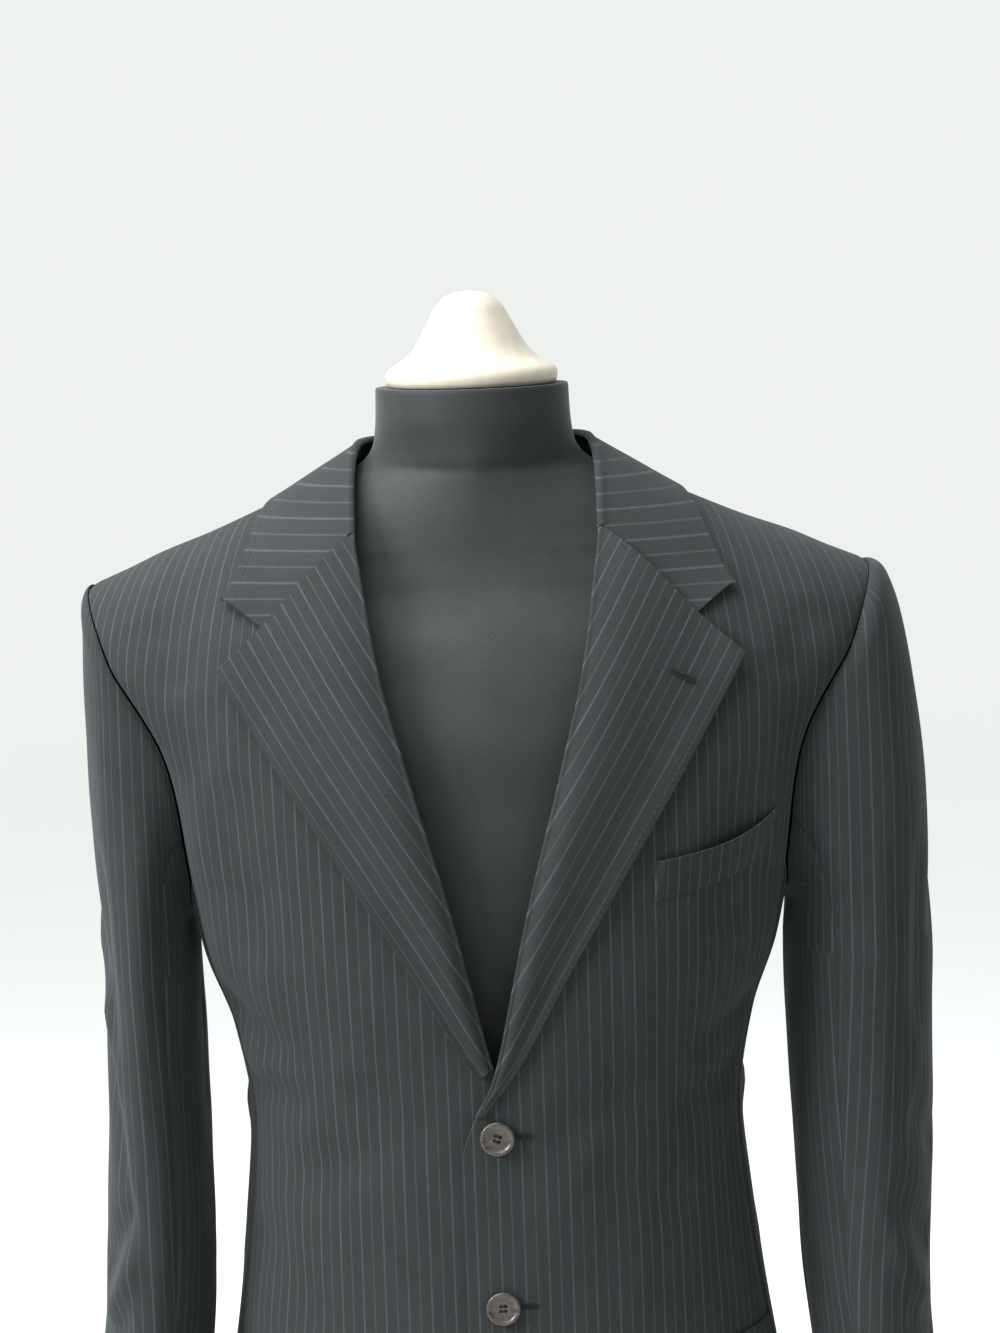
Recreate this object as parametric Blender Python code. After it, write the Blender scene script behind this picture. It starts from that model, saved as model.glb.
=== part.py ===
"""Two-piece suit on a limbless dress form: jacket, trousers, form and stand.

Metres, +Z up. The suit faces -Y and the wearer's left side is +X. The origin is the
centre of the base plate's underside. Every piece of cloth is a wall that starts from
the outer face of one shared surface, so neighbouring pieces meet along their seams.
"""
import math

import bmesh
import bpy
import numpy as np
from mathutils import Matrix, Vector

# ---------------------------------------------------------------- driving sizes
WALL = 0.0020            # jacket and trouser cloth, with its backing
THIN_WALL = 0.0015       # lapel, pocket welt, flaps and fly
SEAM_GAP = 0.00016       # each piece stops this far short of its seam
LAY_GAP = 0.0004         # between a piece and the panel that it lies on
CENTRE_BAND = 0.0005     # points this near the centre plane belong to a centre seam

CHEST_Z = 1.262          # where the front and back seams of the side panel meet the armhole
NECK_POINT_X = 0.079     # shoulder seam ends here, at the neck
RING_POWER = 0.84        # plan shape of the body: 1 is an ellipse, less is squarer
ARCH_POWER = 1.9         # how square the shoulder is from front to back

ARMHOLE_Y = 0.006
ARMHOLE_Z = 1.3355
ARMHOLE_HALF_DEPTH = 0.073
ARMHOLE_HALF_HEIGHT = 0.1005
ARMHOLE_POWER = 0.85

BUTTON_Z = (1.118, 1.014)        # upper and lower front button
BUTTON_RADIUS = 0.0102
CUFF_BUTTON_RADIUS = 0.0075
CUFF_BUTTONS = 4
FLAP_TOP_Z = 0.975
OVERLAP_TOP_Z = 1.225            # above this the two fronts lie apart

BASE_RADIUS = 0.210
BASE_THICKNESS = 0.008
POLE_RADIUS = 0.0125
POLE_X = 0.096                   # the pole stands inside the left trouser leg
FORM_BOTTOM_Z = 0.862

CLOTH = (0.050, 0.058, 0.062, 1.0)
FORM_CLOTH = (0.030, 0.034, 0.036, 1.0)
WOOD = (0.80, 0.68, 0.50, 1.0)
HORN = (0.030, 0.026, 0.024, 1.0)
STEEL = (0.55, 0.56, 0.58, 1.0)


def table(columns, *rows):
    """Named columns of numbers."""
    return {name: np.array([row[i] for row in rows]) for i, name in enumerate(columns.split())}


# Jacket body from the hem to the chest line: half width, and reach to the front and back.
BODY = table(
    "z      half_width  front   back",
    (0.742, 0.1900,     0.1280, 0.1330),
    (0.800, 0.1880,     0.1280, 0.1340),
    (0.880, 0.1820,     0.1270, 0.1310),
    (0.960, 0.1710,     0.1245, 0.1220),
    (1.040, 0.1590,     0.1230, 0.1120),
    (1.110, 0.1530,     0.1250, 0.1080),
    (1.167, 0.1615,     0.1310, 0.1110),
    (1.213, 0.1775,     0.1370, 0.1160),
    (1.262, 0.1870,     0.1400, 0.1200),
)
# Height of the shoulder ridge at each distance from the centre; inside the neck it is notional.
SHOULDER = table(
    "x      z",
    (0.000, 1.5350),
    (0.050, 1.5170),
    (0.079, 1.5035),
    (0.121, 1.4850),
    (0.163, 1.4670),
    (0.192, 1.4560),
    (0.214, 1.4460),
    (0.238, 1.4360),
)
# Armhole seam above the chest line, seen from the front.
ARMHOLE_EDGE = table(
    "z      x",
    (1.300, 0.1840),
    (1.321, 0.1880),
    (1.336, 0.1930),
    (1.352, 0.2010),
    (1.368, 0.2100),
    (1.385, 0.2195),
    (1.409, 0.2285),
    (1.436, 0.2380),
)
# Front edge, from the rounded hem corner up the overlap and along the lapel's roll.
FRONT_EDGE = table(
    "z      x",
    (0.742, 0.1020),
    (0.749, 0.0780),
    (0.768, 0.0520),
    (0.805, 0.0260),
    (0.860, 0.0040),
    (0.930, -0.0130),
    (1.000, -0.0200),
    (1.105, -0.0200),
    (1.130, -0.0120),
    (1.152, -0.0010),
    (1.205, 0.0119),
    (1.245, 0.0207),
    (1.283, 0.0304),
    (1.315, 0.0395),
    (1.347, 0.0481),
    (1.381, 0.0573),
    (1.414, 0.0638),
    (1.441, 0.0681),
    (1.469, 0.0724),
    (1.504, 0.0745),
)
# Outer edge of the lapel, from its foot at the top button to its tip.
LAPEL_EDGE = table(
    "z      x",
    (1.132, -0.0085),
    (1.160, 0.0125),
    (1.205, 0.0372),
    (1.268, 0.0745),
    (1.331, 0.1140),
    (1.393, 0.1515),
)
GORGE_START = (0.0724, 1.469)    # x and z where the collar seam leaves the roll
NOTCH = (0.1255, 1.417)          # inner corner of the notch
COLLAR_TIP = (0.1487, 1.432)

# Collar from the centre back (0) to its front end (1). The fold and the leaf's edge are given on
# the body's surface: distance from the centre, and degrees from the shoulder ridge, forward
# negative. The fold rises off the surface.
COLLAR = table(
    "t      x       turn    rise    edge_x  edge_turn",
    (0.00,  0.0000, 34.0,   0.0300, 0.0000, 41.0),
    (0.25,  0.0440, 27.0,   0.0255, 0.0720, 33.0),
    (0.50,  0.0690, 8.0,    0.0105, 0.1180, 7.0),
    (0.75,  0.0735, -13.0,  0.0030, 0.1345, -21.6),
    (1.00,  0.0724, -29.5,  0.0010, 0.1487, -36.0),
)
COLLAR_FOLD = 0.0030             # radius of the fold

# Sleeve rings below the armhole; the left sleeve hangs further from the body.
SLEEVE = table(
    "z      x_right  half_right  x_left  half_left  y        half_depth",
    (1.205, 0.2105,  0.0295,     0.2275, 0.0455,    0.0000,  0.0790),
    (1.120, 0.2105,  0.0305,     0.2275, 0.0445,    -0.0020, 0.0750),
    (1.020, 0.2130,  0.0335,     0.2270, 0.0400,    -0.0120, 0.0690),
    (0.920, 0.2205,  0.0340,     0.2320, 0.0370,    -0.0280, 0.0615),
    (0.802, 0.2315,  0.0345,     0.2385, 0.0350,    -0.0500, 0.0560),
)
CROWN_REACH = {-1: 0.030, 1: 0.085}   # how far the sleeve head swells out of the armhole
SLEEVE_SEAMS = (118.0, 246.0)         # front and back sleeve seam, degrees round from the top

# Trousers: each leg's centre and half width, and its reach to the front and back crease.
TROUSERS = table(
    "z      x       half    front   back    round",
    (1.054, 0.0000, 0.1390, 0.1100, 0.0990, 0.50),
    (1.000, 0.0000, 0.1470, 0.1120, 0.1010, 0.50),
    (0.940, 0.0000, 0.1570, 0.1150, 0.1090, 0.50),
    (0.895, 0.0100, 0.1530, 0.1150, 0.1150, 0.51),
    (0.860, 0.0380, 0.1260, 0.1130, 0.1160, 0.53),
    (0.830, 0.0650, 0.1010, 0.1080, 0.1120, 0.56),
    (0.808, 0.0820, 0.0860, 0.1020, 0.1060, 0.59),
    (0.780, 0.0885, 0.0825, 0.0970, 0.1000, 0.62),
    (0.700, 0.0930, 0.0780, 0.0920, 0.0930, 0.66),
    (0.600, 0.0950, 0.0730, 0.0880, 0.0870, 0.68),
    (0.480, 0.0960, 0.0680, 0.0850, 0.0820, 0.70),
    (0.300, 0.0960, 0.0610, 0.0850, 0.0790, 0.72),
    (0.100, 0.0960, 0.0560, 0.0870, 0.0780, 0.72),
    (0.036, 0.0960, 0.0545, 0.0880, 0.0780, 0.72),
)
WAISTBAND_TOP = 1.092

# The form below the shoulders, and its neck; between them its half width follows the jacket.
FORM = table(
    "z      half_width  front   back",
    (0.862, 0.1440,     0.0980, 0.1000),
    (0.900, 0.1500,     0.1020, 0.1040),
    (0.960, 0.1480,     0.1030, 0.1000),
    (1.056, 0.1360,     0.1070, 0.0960),
    (1.092, 0.1360,     0.1070, 0.0960),
    (1.170, 0.1480,     0.1140, 0.0980),
    (1.262, 0.1640,     0.1220, 0.1010),
    (1.340, 0.1700,     0.1160, 0.0990),
    (1.400, 0.1780,     0.0950, 0.0850),
    (1.436, 0.1850,     0.0720, 0.0690),
)
FORM_NECK = table(
    "z      half_width  front   back",
    (1.5095, 0.0655,    0.0590, 0.0540),
    (1.518, 0.0610,     0.0595, 0.0540),
    (1.535, 0.0590,     0.0610, 0.0550),
    (1.551, 0.0585,     0.0605, 0.0550),
)
SEAT_GAP = 0.0007                # the jacket's shoulders rest this far above the form's
NECK_TOP_Z = 1.551
NECK_CENTRE_Y = -0.0028


# ---------------------------------------------------------------- shared shapes
def smooth(xs, ys, x):
    """Read a curve through the points (xs, ys) at x, smooth and without overshoot."""
    xs = np.asarray(xs, float)
    ys = np.asarray(ys, float)
    x = np.clip(np.asarray(x, float), xs[0], xs[-1])
    step = np.diff(xs)
    rise = np.diff(ys) / step
    slope = np.zeros_like(ys)
    same = rise[:-1] * rise[1:] > 0
    w1 = 2 * step[1:] + step[:-1]
    w2 = step[1:] + 2 * step[:-1]
    with np.errstate(divide="ignore", invalid="ignore"):
        mean = (w1 + w2) / (w1 / rise[:-1] + w2 / rise[1:])
    slope[1:-1] = np.where(same, mean, 0.0)
    slope[0] = rise[0]
    slope[-1] = rise[-1]
    i = np.clip(np.searchsorted(xs, x, side="right") - 1, 0, len(step) - 1)
    t = (x - xs[i]) / step[i]
    h00 = 2 * t**3 - 3 * t**2 + 1
    h10 = t**3 - 2 * t**2 + t
    h01 = 3 * t**2 - 2 * t**3
    h11 = t**3 - t**2
    return h00 * ys[i] + h10 * step[i] * slope[i] + h01 * ys[i + 1] + h11 * step[i] * slope[i + 1]


def read(tab, name, at, key="z"):
    order = np.argsort(tab[key])
    return smooth(tab[key][order], tab[name][order], at)


def shoulder_z(x):
    return read(SHOULDER, "z", np.abs(x), key="x")


def armhole_reach(z):
    """Half depth of the armhole at height z."""
    lift = np.clip(np.abs(z - ARMHOLE_Z) / ARMHOLE_HALF_HEIGHT, 0.0, 1.0)
    cosine = lift ** (1 / ARMHOLE_POWER)
    return ARMHOLE_HALF_DEPTH * np.sqrt(1 - cosine**2) ** ARMHOLE_POWER


def armhole_low_z(y):
    """Height of the armhole's lower half at depth y."""
    sine = np.clip(np.abs(y - ARMHOLE_Y) / ARMHOLE_HALF_DEPTH, 0.0, 1.0) ** (1 / ARMHOLE_POWER)
    return ARMHOLE_Z - ARMHOLE_HALF_HEIGHT * np.sqrt(1 - sine**2) ** ARMHOLE_POWER


TIP_Z = ARMHOLE_Z + ARMHOLE_HALF_HEIGHT
CHEST = {name: float(read(BODY, name, CHEST_Z)) for name in ("half_width", "front", "back")}


def seam_shares(face):
    """Where the side panel's seam lies on a ring, as shares of its reach and its width."""
    y = armhole_reach(CHEST_Z) + (ARMHOLE_Y if face == "back" else -ARMHOLE_Y)
    cosine = float(y) / CHEST[face]
    sine = (1 - cosine ** (2 / RING_POWER)) ** (RING_POWER / 2)
    return cosine, sine


SEAM = {face: seam_shares(face) for face in ("front", "back")}


def armhole_x(z, face):
    """Distance of the armhole seam from the centre at height z."""
    low = CHEST["half_width"] * SEAM[face][1]
    return smooth([CHEST_Z, *ARMHOLE_EDGE["z"]], [low, *ARMHOLE_EDGE["x"]], z)


def level(v, x, face):
    """Width, reach, foot and height of the ring at level v.

    Below zero v is metres under the chest line; from 0 to 1 it climbs over the shoulder.
    """
    v, x = np.broadcast_arrays(np.asarray(v, float), np.asarray(x, float))
    low_z = CHEST_Z + np.minimum(v, 0.0)
    angle = np.clip(v, 0.0, 1.0) * math.pi / 2
    rise = np.sin(angle) ** (2 / ARCH_POWER)
    z = low_z + (shoulder_z(x) - CHEST_Z) * rise
    arm_z = CHEST_Z + (TIP_Z - CHEST_Z) * rise
    cosine, sine = SEAM[face]
    reach_low = read(BODY, face, low_z)
    reach = reach_low * np.abs(np.cos(angle))
    shift = ARMHOLE_Y if face == "back" else -ARMHOLE_Y
    arm_y = armhole_reach(arm_z) + shift
    foot = np.where(v < 0, 0.0, (arm_y - reach * cosine) / (1 - cosine))
    width = np.where(v < 0, read(BODY, "half_width", low_z), armhole_x(arm_z, face) / sine)
    return width, reach, foot, z


def surface(v, x, face):
    """Point on the jacket's outer face, on the +X side."""
    width, reach, foot, z = level(v, x, face)
    share = np.clip(np.abs(x) / width, 0.0, 1.0) ** (2 / RING_POWER)
    depth = foot + (reach - foot) * (1 - share) ** (RING_POWER / 2)
    y = depth if face == "back" else -depth
    return np.stack(np.broadcast_arrays(x, y, z), axis=-1).astype(float)


def level_of(x, z):
    """Level v of the front or back at distance x and height z."""
    rise = np.clip((z - CHEST_Z) / (shoulder_z(x) - CHEST_Z), 0.0, 1.0)
    up = np.arcsin(rise ** (ARCH_POWER / 2)) / (math.pi / 2)
    return np.where(z < CHEST_Z, z - CHEST_Z, up)


def front_at(x, z):
    return surface(level_of(x, z), x, "front")


def normals(grid, inside):
    """Unit normals of a grid of points, pointing away from the point inside."""
    across = np.gradient(grid, axis=1)
    along = np.gradient(grid, axis=0)
    n = np.cross(across, along)
    size = np.linalg.norm(n, axis=-1, keepdims=True)
    n = n / np.maximum(size, 1e-12)
    if np.sum(n * (grid - np.asarray(inside))) < 0:
        n = -n
    return n


def material(name, colour, roughness, metallic=0.0):
    mat = bpy.data.materials.new(name)
    mat.use_nodes = True
    shader = mat.node_tree.nodes["Principled BSDF"]
    shader.inputs["Base Color"].default_value = colour
    shader.inputs["Roughness"].default_value = roughness
    shader.inputs["Metallic"].default_value = metallic
    return mat


def add_mesh(name, points, faces, colour, roughness=0.85, metallic=0.0, sharp=35):
    """One closed piece with its own material, its faces turned out."""
    mesh = bpy.data.meshes.new(name)
    mesh.from_pydata([tuple(p) for p in points], [], faces)
    bm = bmesh.new()
    bm.from_mesh(mesh)
    bmesh.ops.recalc_face_normals(bm, faces=bm.faces)
    if bm.calc_volume(signed=True) < 0:
        bmesh.ops.reverse_faces(bm, faces=bm.faces)
    bm.to_mesh(mesh)
    bm.free()
    mesh.shade_smooth()
    mesh.set_sharp_from_angle(angle=math.radians(sharp))
    obj = bpy.data.objects.new(name, mesh)
    bpy.context.scene.collection.objects.link(obj)
    mesh.materials.append(material(name, colour, roughness, metallic))
    return obj


def wall(name, grid, thickness, inside, colour=CLOTH, closed=False):
    """A wall of cloth under a grid of outer points; closed joins the last column to the first."""
    before, after = (grid[:, -1:], grid[:, :1]) if closed else (None, None)
    inner = under(grid, thickness, inside, before, after)
    return wall_between(name, grid, inner, colour, closed)


def under(grid, thickness, inside, before=None, after=None):
    """The inner face of a wall; before and after are the columns past its first and last one."""
    if before is None:
        inner = grid - normals(grid, inside) * thickness
    else:
        wide = np.concatenate([before, grid, after], axis=1)
        inner = grid - normals(wide, inside)[:, 1:-1] * thickness
    # A point on a centre seam keeps its distance from the centre plane.
    on_centre = np.abs(grid[..., 0]) < CENTRE_BAND
    inner[..., 0] = np.where(on_centre, grid[..., 0], inner[..., 0])
    return inner


def part_seam(grid, gap, first=True, last=True):
    """Draw a grid's first and last columns back from their seams."""
    out = grid.copy()
    for edge, neighbour, wanted in ((0, 1, first), (-1, -2, last)):
        if wanted:
            step = grid[:, neighbour] - grid[:, edge]
            step = step / np.linalg.norm(step, axis=-1, keepdims=True)
            out[:, edge] = grid[:, edge] + step * gap
    return out


def wall_between(name, grid, inner, colour=CLOTH, closed=False):
    """One closed piece between an outer and an inner grid."""
    rows, columns = grid.shape[:2]
    points = np.concatenate([grid.reshape(-1, 3), inner.reshape(-1, 3)])
    half = rows * columns
    faces = []
    last = columns if closed else columns - 1
    for r in range(rows - 1):
        for c in range(last):
            d = (c + 1) % columns
            quad = (r * columns + c, r * columns + d, (r + 1) * columns + d, (r + 1) * columns + c)
            faces.append(quad)
            faces.append(tuple(half + i for i in reversed(quad)))
    rim = [(0, c) for c in range(columns)]
    far = [(rows - 1, c) for c in range(columns)]
    if closed:
        rims = [rim + rim[:1], far + far[:1]]
    else:
        right = [(r, columns - 1) for r in range(rows)]
        left = [(r, 0) for r in range(rows)]
        rims = [rim, right, far, left]
    for line in rims:
        for (r0, c0), (r1, c1) in zip(line[:-1], line[1:]):
            a = r0 * columns + c0
            b = r1 * columns + c1
            faces.append((a, b, b + half, a + half))
    return add_mesh(name, points, faces, colour)


def mirrored(grid, side):
    return grid * np.array([side, 1.0, 1.0])


SIDE_NAME = {1: "left", -1: "right"}


# ---------------------------------------------------------------- jacket body
TUBE_LEVELS = np.array([0.742, 0.749, 0.768, 0.805, 0.86, 0.93, 1.00, 1.06, 1.11, 1.167,
                        1.213, 1.238, 1.262]) - CHEST_Z
UPPER_LEVELS = np.linspace(0.0, 1.0, 10)[1:]
LEVELS = np.concatenate([TUBE_LEVELS, UPPER_LEVELS])
FRONT_COLUMNS = 8
BACK_COLUMNS = 7
SIDE_COLUMNS = 5
NECK_LEVEL = 0.615               # level of the back neckline at the centre


def outer_x(v, face):
    """Distance of the side seam or armhole at each level, stopping short of the seam."""
    width, _, _, _ = level(v, 0.2, face)
    return width * SEAM[face][1] - SEAM_GAP * np.where(v < 0, 1.0, 2.5)


def inner_x(v):
    """Distance of the front edge or the roll at each level."""
    x = np.full_like(v, 0.05)
    for _ in range(12):
        _, _, _, z = level(v, x, "front")
        x = read(FRONT_EDGE, "x", z)
    return x


def panel(inner, outer, face, columns, levels):
    """Grid of a body panel between its inner and outer edges."""
    share = np.linspace(0.0, 1.0, columns)
    rows = []
    for v, start, end in zip(levels, inner, outer):
        width, _, _, _ = level(v, 0.2, face)
        a0 = math.copysign(math.asin(min(abs(start) / width, 1) ** (1 / RING_POWER)), start)
        a1 = math.asin((end / width) ** (1 / RING_POWER))
        angle = a0 + (a1 - a0) * share
        round_x = width * np.sign(angle) * np.abs(np.sin(angle)) ** RING_POWER
        even_x = start + (end - start) * share
        blend = np.clip(v, 0.0, 1.0) ** 0.5
        x = round_x * (1 - blend) + even_x * blend
        rows.append(surface(np.full(columns, v), x, face))
    return np.array(rows)


def overlap_lift(grid, side):
    """Move the left front outwards where it lies over the right one."""
    if side < 0:
        return grid
    x = grid[..., 0]
    share = np.clip((0.080 - x) / 0.045, 0.0, 1.0)
    low = np.clip((OVERLAP_TOP_Z - grid[..., 2]) / 0.06, 0.0, 1.0)
    lift = (WALL + 2 * LAY_GAP) * share**2 * (3 - 2 * share) * low
    out = grid.copy()
    out[..., 1] -= lift
    return out


def front_grid(side):
    inner = inner_x(LEVELS)
    outer = outer_x(LEVELS, "front")
    levels = LEVELS.copy()
    grid = panel(inner, outer, "front", FRONT_COLUMNS, levels)
    grid[-1, :, 1] -= 0.0003
    return overlap_lift(grid, side)


def back_grid():
    levels = np.sort(np.append(LEVELS, NECK_LEVEL))
    climb = np.clip((1 - levels) / (1 - NECK_LEVEL), 0.0, 1.0)
    inner = np.maximum(NECK_POINT_X * np.sqrt(1 - climb**2), SEAM_GAP)
    grid = panel(inner, outer_x(levels, "back"), "back", BACK_COLUMNS, levels)
    grid[-1, :, 1] += 0.0003
    return grid


def ring_point(z, turn):
    """Point on the jacket's ring at height z, turn radians round from the centre front."""
    face = "front" if turn < math.pi / 2 else "back"
    width = float(read(BODY, "half_width", z))
    reach = float(read(BODY, face, z))
    x = width * abs(math.sin(turn)) ** RING_POWER
    depth = reach * abs(math.cos(turn)) ** RING_POWER
    return np.array([x, -depth if face == "front" else depth, z])


def side_grid():
    start = math.asin(SEAM["front"][1] ** (1 / RING_POWER))
    end = math.pi - math.asin(SEAM["back"][1] ** (1 / RING_POWER))
    gap = 2.8 * SEAM_GAP / CHEST["front"]
    turns = np.linspace(start + gap, end - gap, SIDE_COLUMNS)
    low_z = TUBE_LEVELS + CHEST_Z
    rows = [[ring_point(z, turn) for turn in turns] for z in low_z]
    grid = np.array(rows)
    for c, turn in enumerate(turns):
        top = CHEST_Z
        for _ in range(8):
            top = float(armhole_low_z(ring_point(top, turn)[1]))
        top = min(top - 0.0004, CHEST_Z)
        fixed = low_z[:-3]
        last = np.linspace(fixed[-1], top, 4)[1:] if 0 < c < SIDE_COLUMNS - 1 else low_z[-3:]
        for r, z in zip(range(len(fixed), len(low_z)), last):
            grid[r, c] = ring_point(z, turn)
    return grid


# ---------------------------------------------------------------- lapels and collar
def off_front(x, z, distance):
    """Point that lies off the front's outer face."""
    step = 0.002
    here = front_at(x, z)
    across = front_at(x + step, z) - front_at(x - step, z)
    along = front_at(x, z + step) - front_at(x, z - step)
    n = np.cross(along, across)
    n = n / np.linalg.norm(n, axis=-1, keepdims=True)
    n = n * np.where(n[..., 1:2] > 0, -1.0, 1.0)
    return here + n * np.asarray(distance)[..., None]


def lapel_grid(rows, columns, lift, start):
    """Lapel between its roll and its outer edge; lift is its height off the front.

    start is the share of its length, from the button, at which it comes into sight.
    """
    along = start + (1 - start) * np.linspace(0.0, 1.0, rows)
    low, high_z = LAPEL_EDGE["z"][[0, -1]]
    roll_z = low + (GORGE_START[1] - GORGE_GAP - low) * along
    roll_x = read(FRONT_EDGE, "x", roll_z) + 0.0008
    edge_z = low + (high_z - GORGE_GAP - low) * along
    edge_x = read(LAPEL_EDGE, "x", edge_z)
    share = np.linspace(0.0, 1.0, columns)
    x = roll_x[:, None] + (edge_x - roll_x)[:, None] * share
    z = roll_z[:, None] + (edge_z - roll_z)[:, None] * share
    swell = 0.0030 * np.sin(np.pi * np.clip(share, 0, 1) ** 0.6) ** 2
    high = lift + swell[None, :] * np.clip(along * 4, 0, 1)[:, None]
    return off_front(x, z, high)


def arch_point(x, turn):
    """Point of the jacket's upper body, turn degrees from the shoulder ridge."""
    turn = np.asarray(turn, float)
    v = 1 - np.abs(turn) / 90.0
    front = surface(v, x, "front")
    back = surface(v, x, "back")
    return np.where((turn < 0)[..., None], front, back)


def arch_normal(x, turn):
    step_x = 0.002
    step_t = 0.8
    across = arch_point(x + step_x, turn) - arch_point(x - step_x, turn)
    along = arch_point(x, turn + step_t) - arch_point(x, turn - step_t)
    n = np.cross(across, along)
    n = n / np.linalg.norm(n, axis=-1, keepdims=True)
    return n * np.where(n[..., 2:3] < 0, -1.0, 1.0)


def collar_turn(x, z):
    """Degrees forward of the shoulder ridge at distance x and height z on the front."""
    return -90.0 * (1 - level_of(x, z))


def collar_leaf(t, share, lift):
    """Points of the collar's leaf for arrays t (0 centre back, 1 front end) and share."""
    x0 = read(COLLAR, "x", t, key="t")
    turn0 = read(COLLAR, "turn", t, key="t")
    x1 = read(COLLAR, "edge_x", t, key="t")
    turn1 = read(COLLAR, "edge_turn", t, key="t")
    # The front end bends along the gorge seam to the notch, then out to the tip.
    gorge_turn = collar_turn(*map(np.asarray, GORGE_START))
    notch_turn = collar_turn(*map(np.asarray, NOTCH))
    tip_turn = collar_turn(*map(np.asarray, COLLAR_TIP))
    bent_x = np.interp(share, [0, 0.68, 1], [GORGE_START[0], NOTCH[0], COLLAR_TIP[0]])
    bent_turn = np.interp(share, [0, 0.68, 1], [gorge_turn, notch_turn, tip_turn])
    x = x0 + (x1 - x0) * share
    turn = turn0 + (turn1 - turn0) * share
    bend = np.clip((t - 0.55) / 0.45, 0.0, 1.0) ** 1.6
    x = x + (bent_x - x) * bend
    turn = turn + (bent_turn - turn) * bend
    over_ridge = np.clip(1 - np.abs(turn + 6) / 34, 0.0, 1.0) * 0.0022
    on = arch_point(x, turn) + arch_normal(x, turn) * (lift + over_ridge)[..., None]
    on[..., 2] += read(COLLAR, "rise", t, key="t") * (1 - share) ** 1.5
    return on


GORGE_GAP = 0.0016
LAPEL_START = {1: 0.0, -1: 0.085}    # the right lapel's foot is under the left front
LAPEL_LIFT = THIN_WALL + 0.0013
COLLAR_LIFT = THIN_WALL + 0.0014


def neck_out(t):
    """Level direction away from the neck at the fold."""
    angle = math.pi / 2 * np.clip(np.asarray(t, float) * 2, 0.0, 1.0)
    return np.stack([np.sin(angle), np.cos(angle), 0 * angle], axis=-1)


def fold_centre(t):
    """Axis of the collar's fold."""
    t = np.asarray(t, float)
    first = collar_leaf(t, np.full_like(t, FOLD_SHARE), COLLAR_LIFT)
    return first - neck_out(t) * COLLAR_FOLD


FOLD_SHARE = 0.05
UP = np.array([0.0, 0.0, 1.0])
NECKLINE_LEVELS = UPPER_LEVELS[UPPER_LEVELS > NECK_LEVEL]
LEAF_STATIONS = np.concatenate([
    [0.0],
    0.5 * np.sqrt((NECKLINE_LEVELS - NECK_LEVEL) / (1 - NECK_LEVEL)),
    [0.58, 0.66, 0.75, 0.84, 0.93, 1.0],
])


def both_halves(rows):
    """A band from its right end round the back to its left end."""
    rows = np.array(rows)
    right = rows[::-1][:-1] * np.array([-1.0, 1.0, 1.0])
    return np.concatenate([right, rows])


def collar_grid():
    """Whole leaf, from the right front end round the back to the left one, with its fold."""
    share = np.array([FOLD_SHARE, 0.24, 0.46, 0.68, 0.84, 1.0])
    rows = []
    for t in LEAF_STATIONS:
        leaf = collar_leaf(np.full(len(share), t), share, COLLAR_LIFT)
        out = neck_out(t)
        centre = fold_centre(np.array([t]))[0]
        curl = [centre + COLLAR_FOLD * (UP * math.sin(a) - out * math.cos(a))
                for a in np.radians([-15, 45, 105])]
        rows.append(np.concatenate([curl, leaf]))
    return both_halves(rows)


def stand_grid():
    """The collar's stand, from the neck seam up into the fold."""
    rows = []
    for t in LEAF_STATIONS[LEAF_STATIONS < 0.6]:
        top = fold_centre(np.array([t]))[0] + neck_out(t) * THIN_WALL / 2
        foot = top.copy()
        if t < 0.5:
            v = NECK_LEVEL + (1 - NECK_LEVEL) * (t / 0.5) ** 2
            x = NECK_POINT_X * math.sqrt(1 - ((1 - v) / (1 - NECK_LEVEL)) ** 2)
            foot = surface(v, x, "back") + UP * 0.0016 - neck_out(t) * 0.0002
        else:
            foot[2] = float(shoulder_z(top[0])) + 0.0026
        rows.append(top + (foot - top) * np.array([[0.0], [0.5], [1.0]]))
    return both_halves(rows)


# ---------------------------------------------------------------- sleeves
def sleeve_ring(side, z, turn):
    name = SIDE_NAME[side]
    x = read(SLEEVE, "x_" + name, z) + read(SLEEVE, "half_" + name, z) * np.cos(turn)
    y = read(SLEEVE, "y", z) - read(SLEEVE, "half_depth", z) * np.sin(turn)
    return np.stack([x, y, z + 0 * turn], axis=-1)


def armhole_ring():
    """Armhole points in order from the top down the front and up the back, with their turns."""
    front = front_grid(-1)[len(TUBE_LEVELS) - 1:, -1][::-1]
    low = side_grid()[-1, 1:-1]
    back_all = back_grid()
    back = back_all[len(TUBE_LEVELS) - 1:, -1]
    ring = np.concatenate([front, low, back])
    dy = (ring[:, 1] - ARMHOLE_Y) / ARMHOLE_HALF_DEPTH
    dz = (ring[:, 2] - ARMHOLE_Z) / ARMHOLE_HALF_HEIGHT
    turn = np.unwrap(np.arctan2(-dy, dz))
    turn = np.where(turn < -0.1, turn + 2 * math.pi, turn)
    return ring, turn


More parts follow.
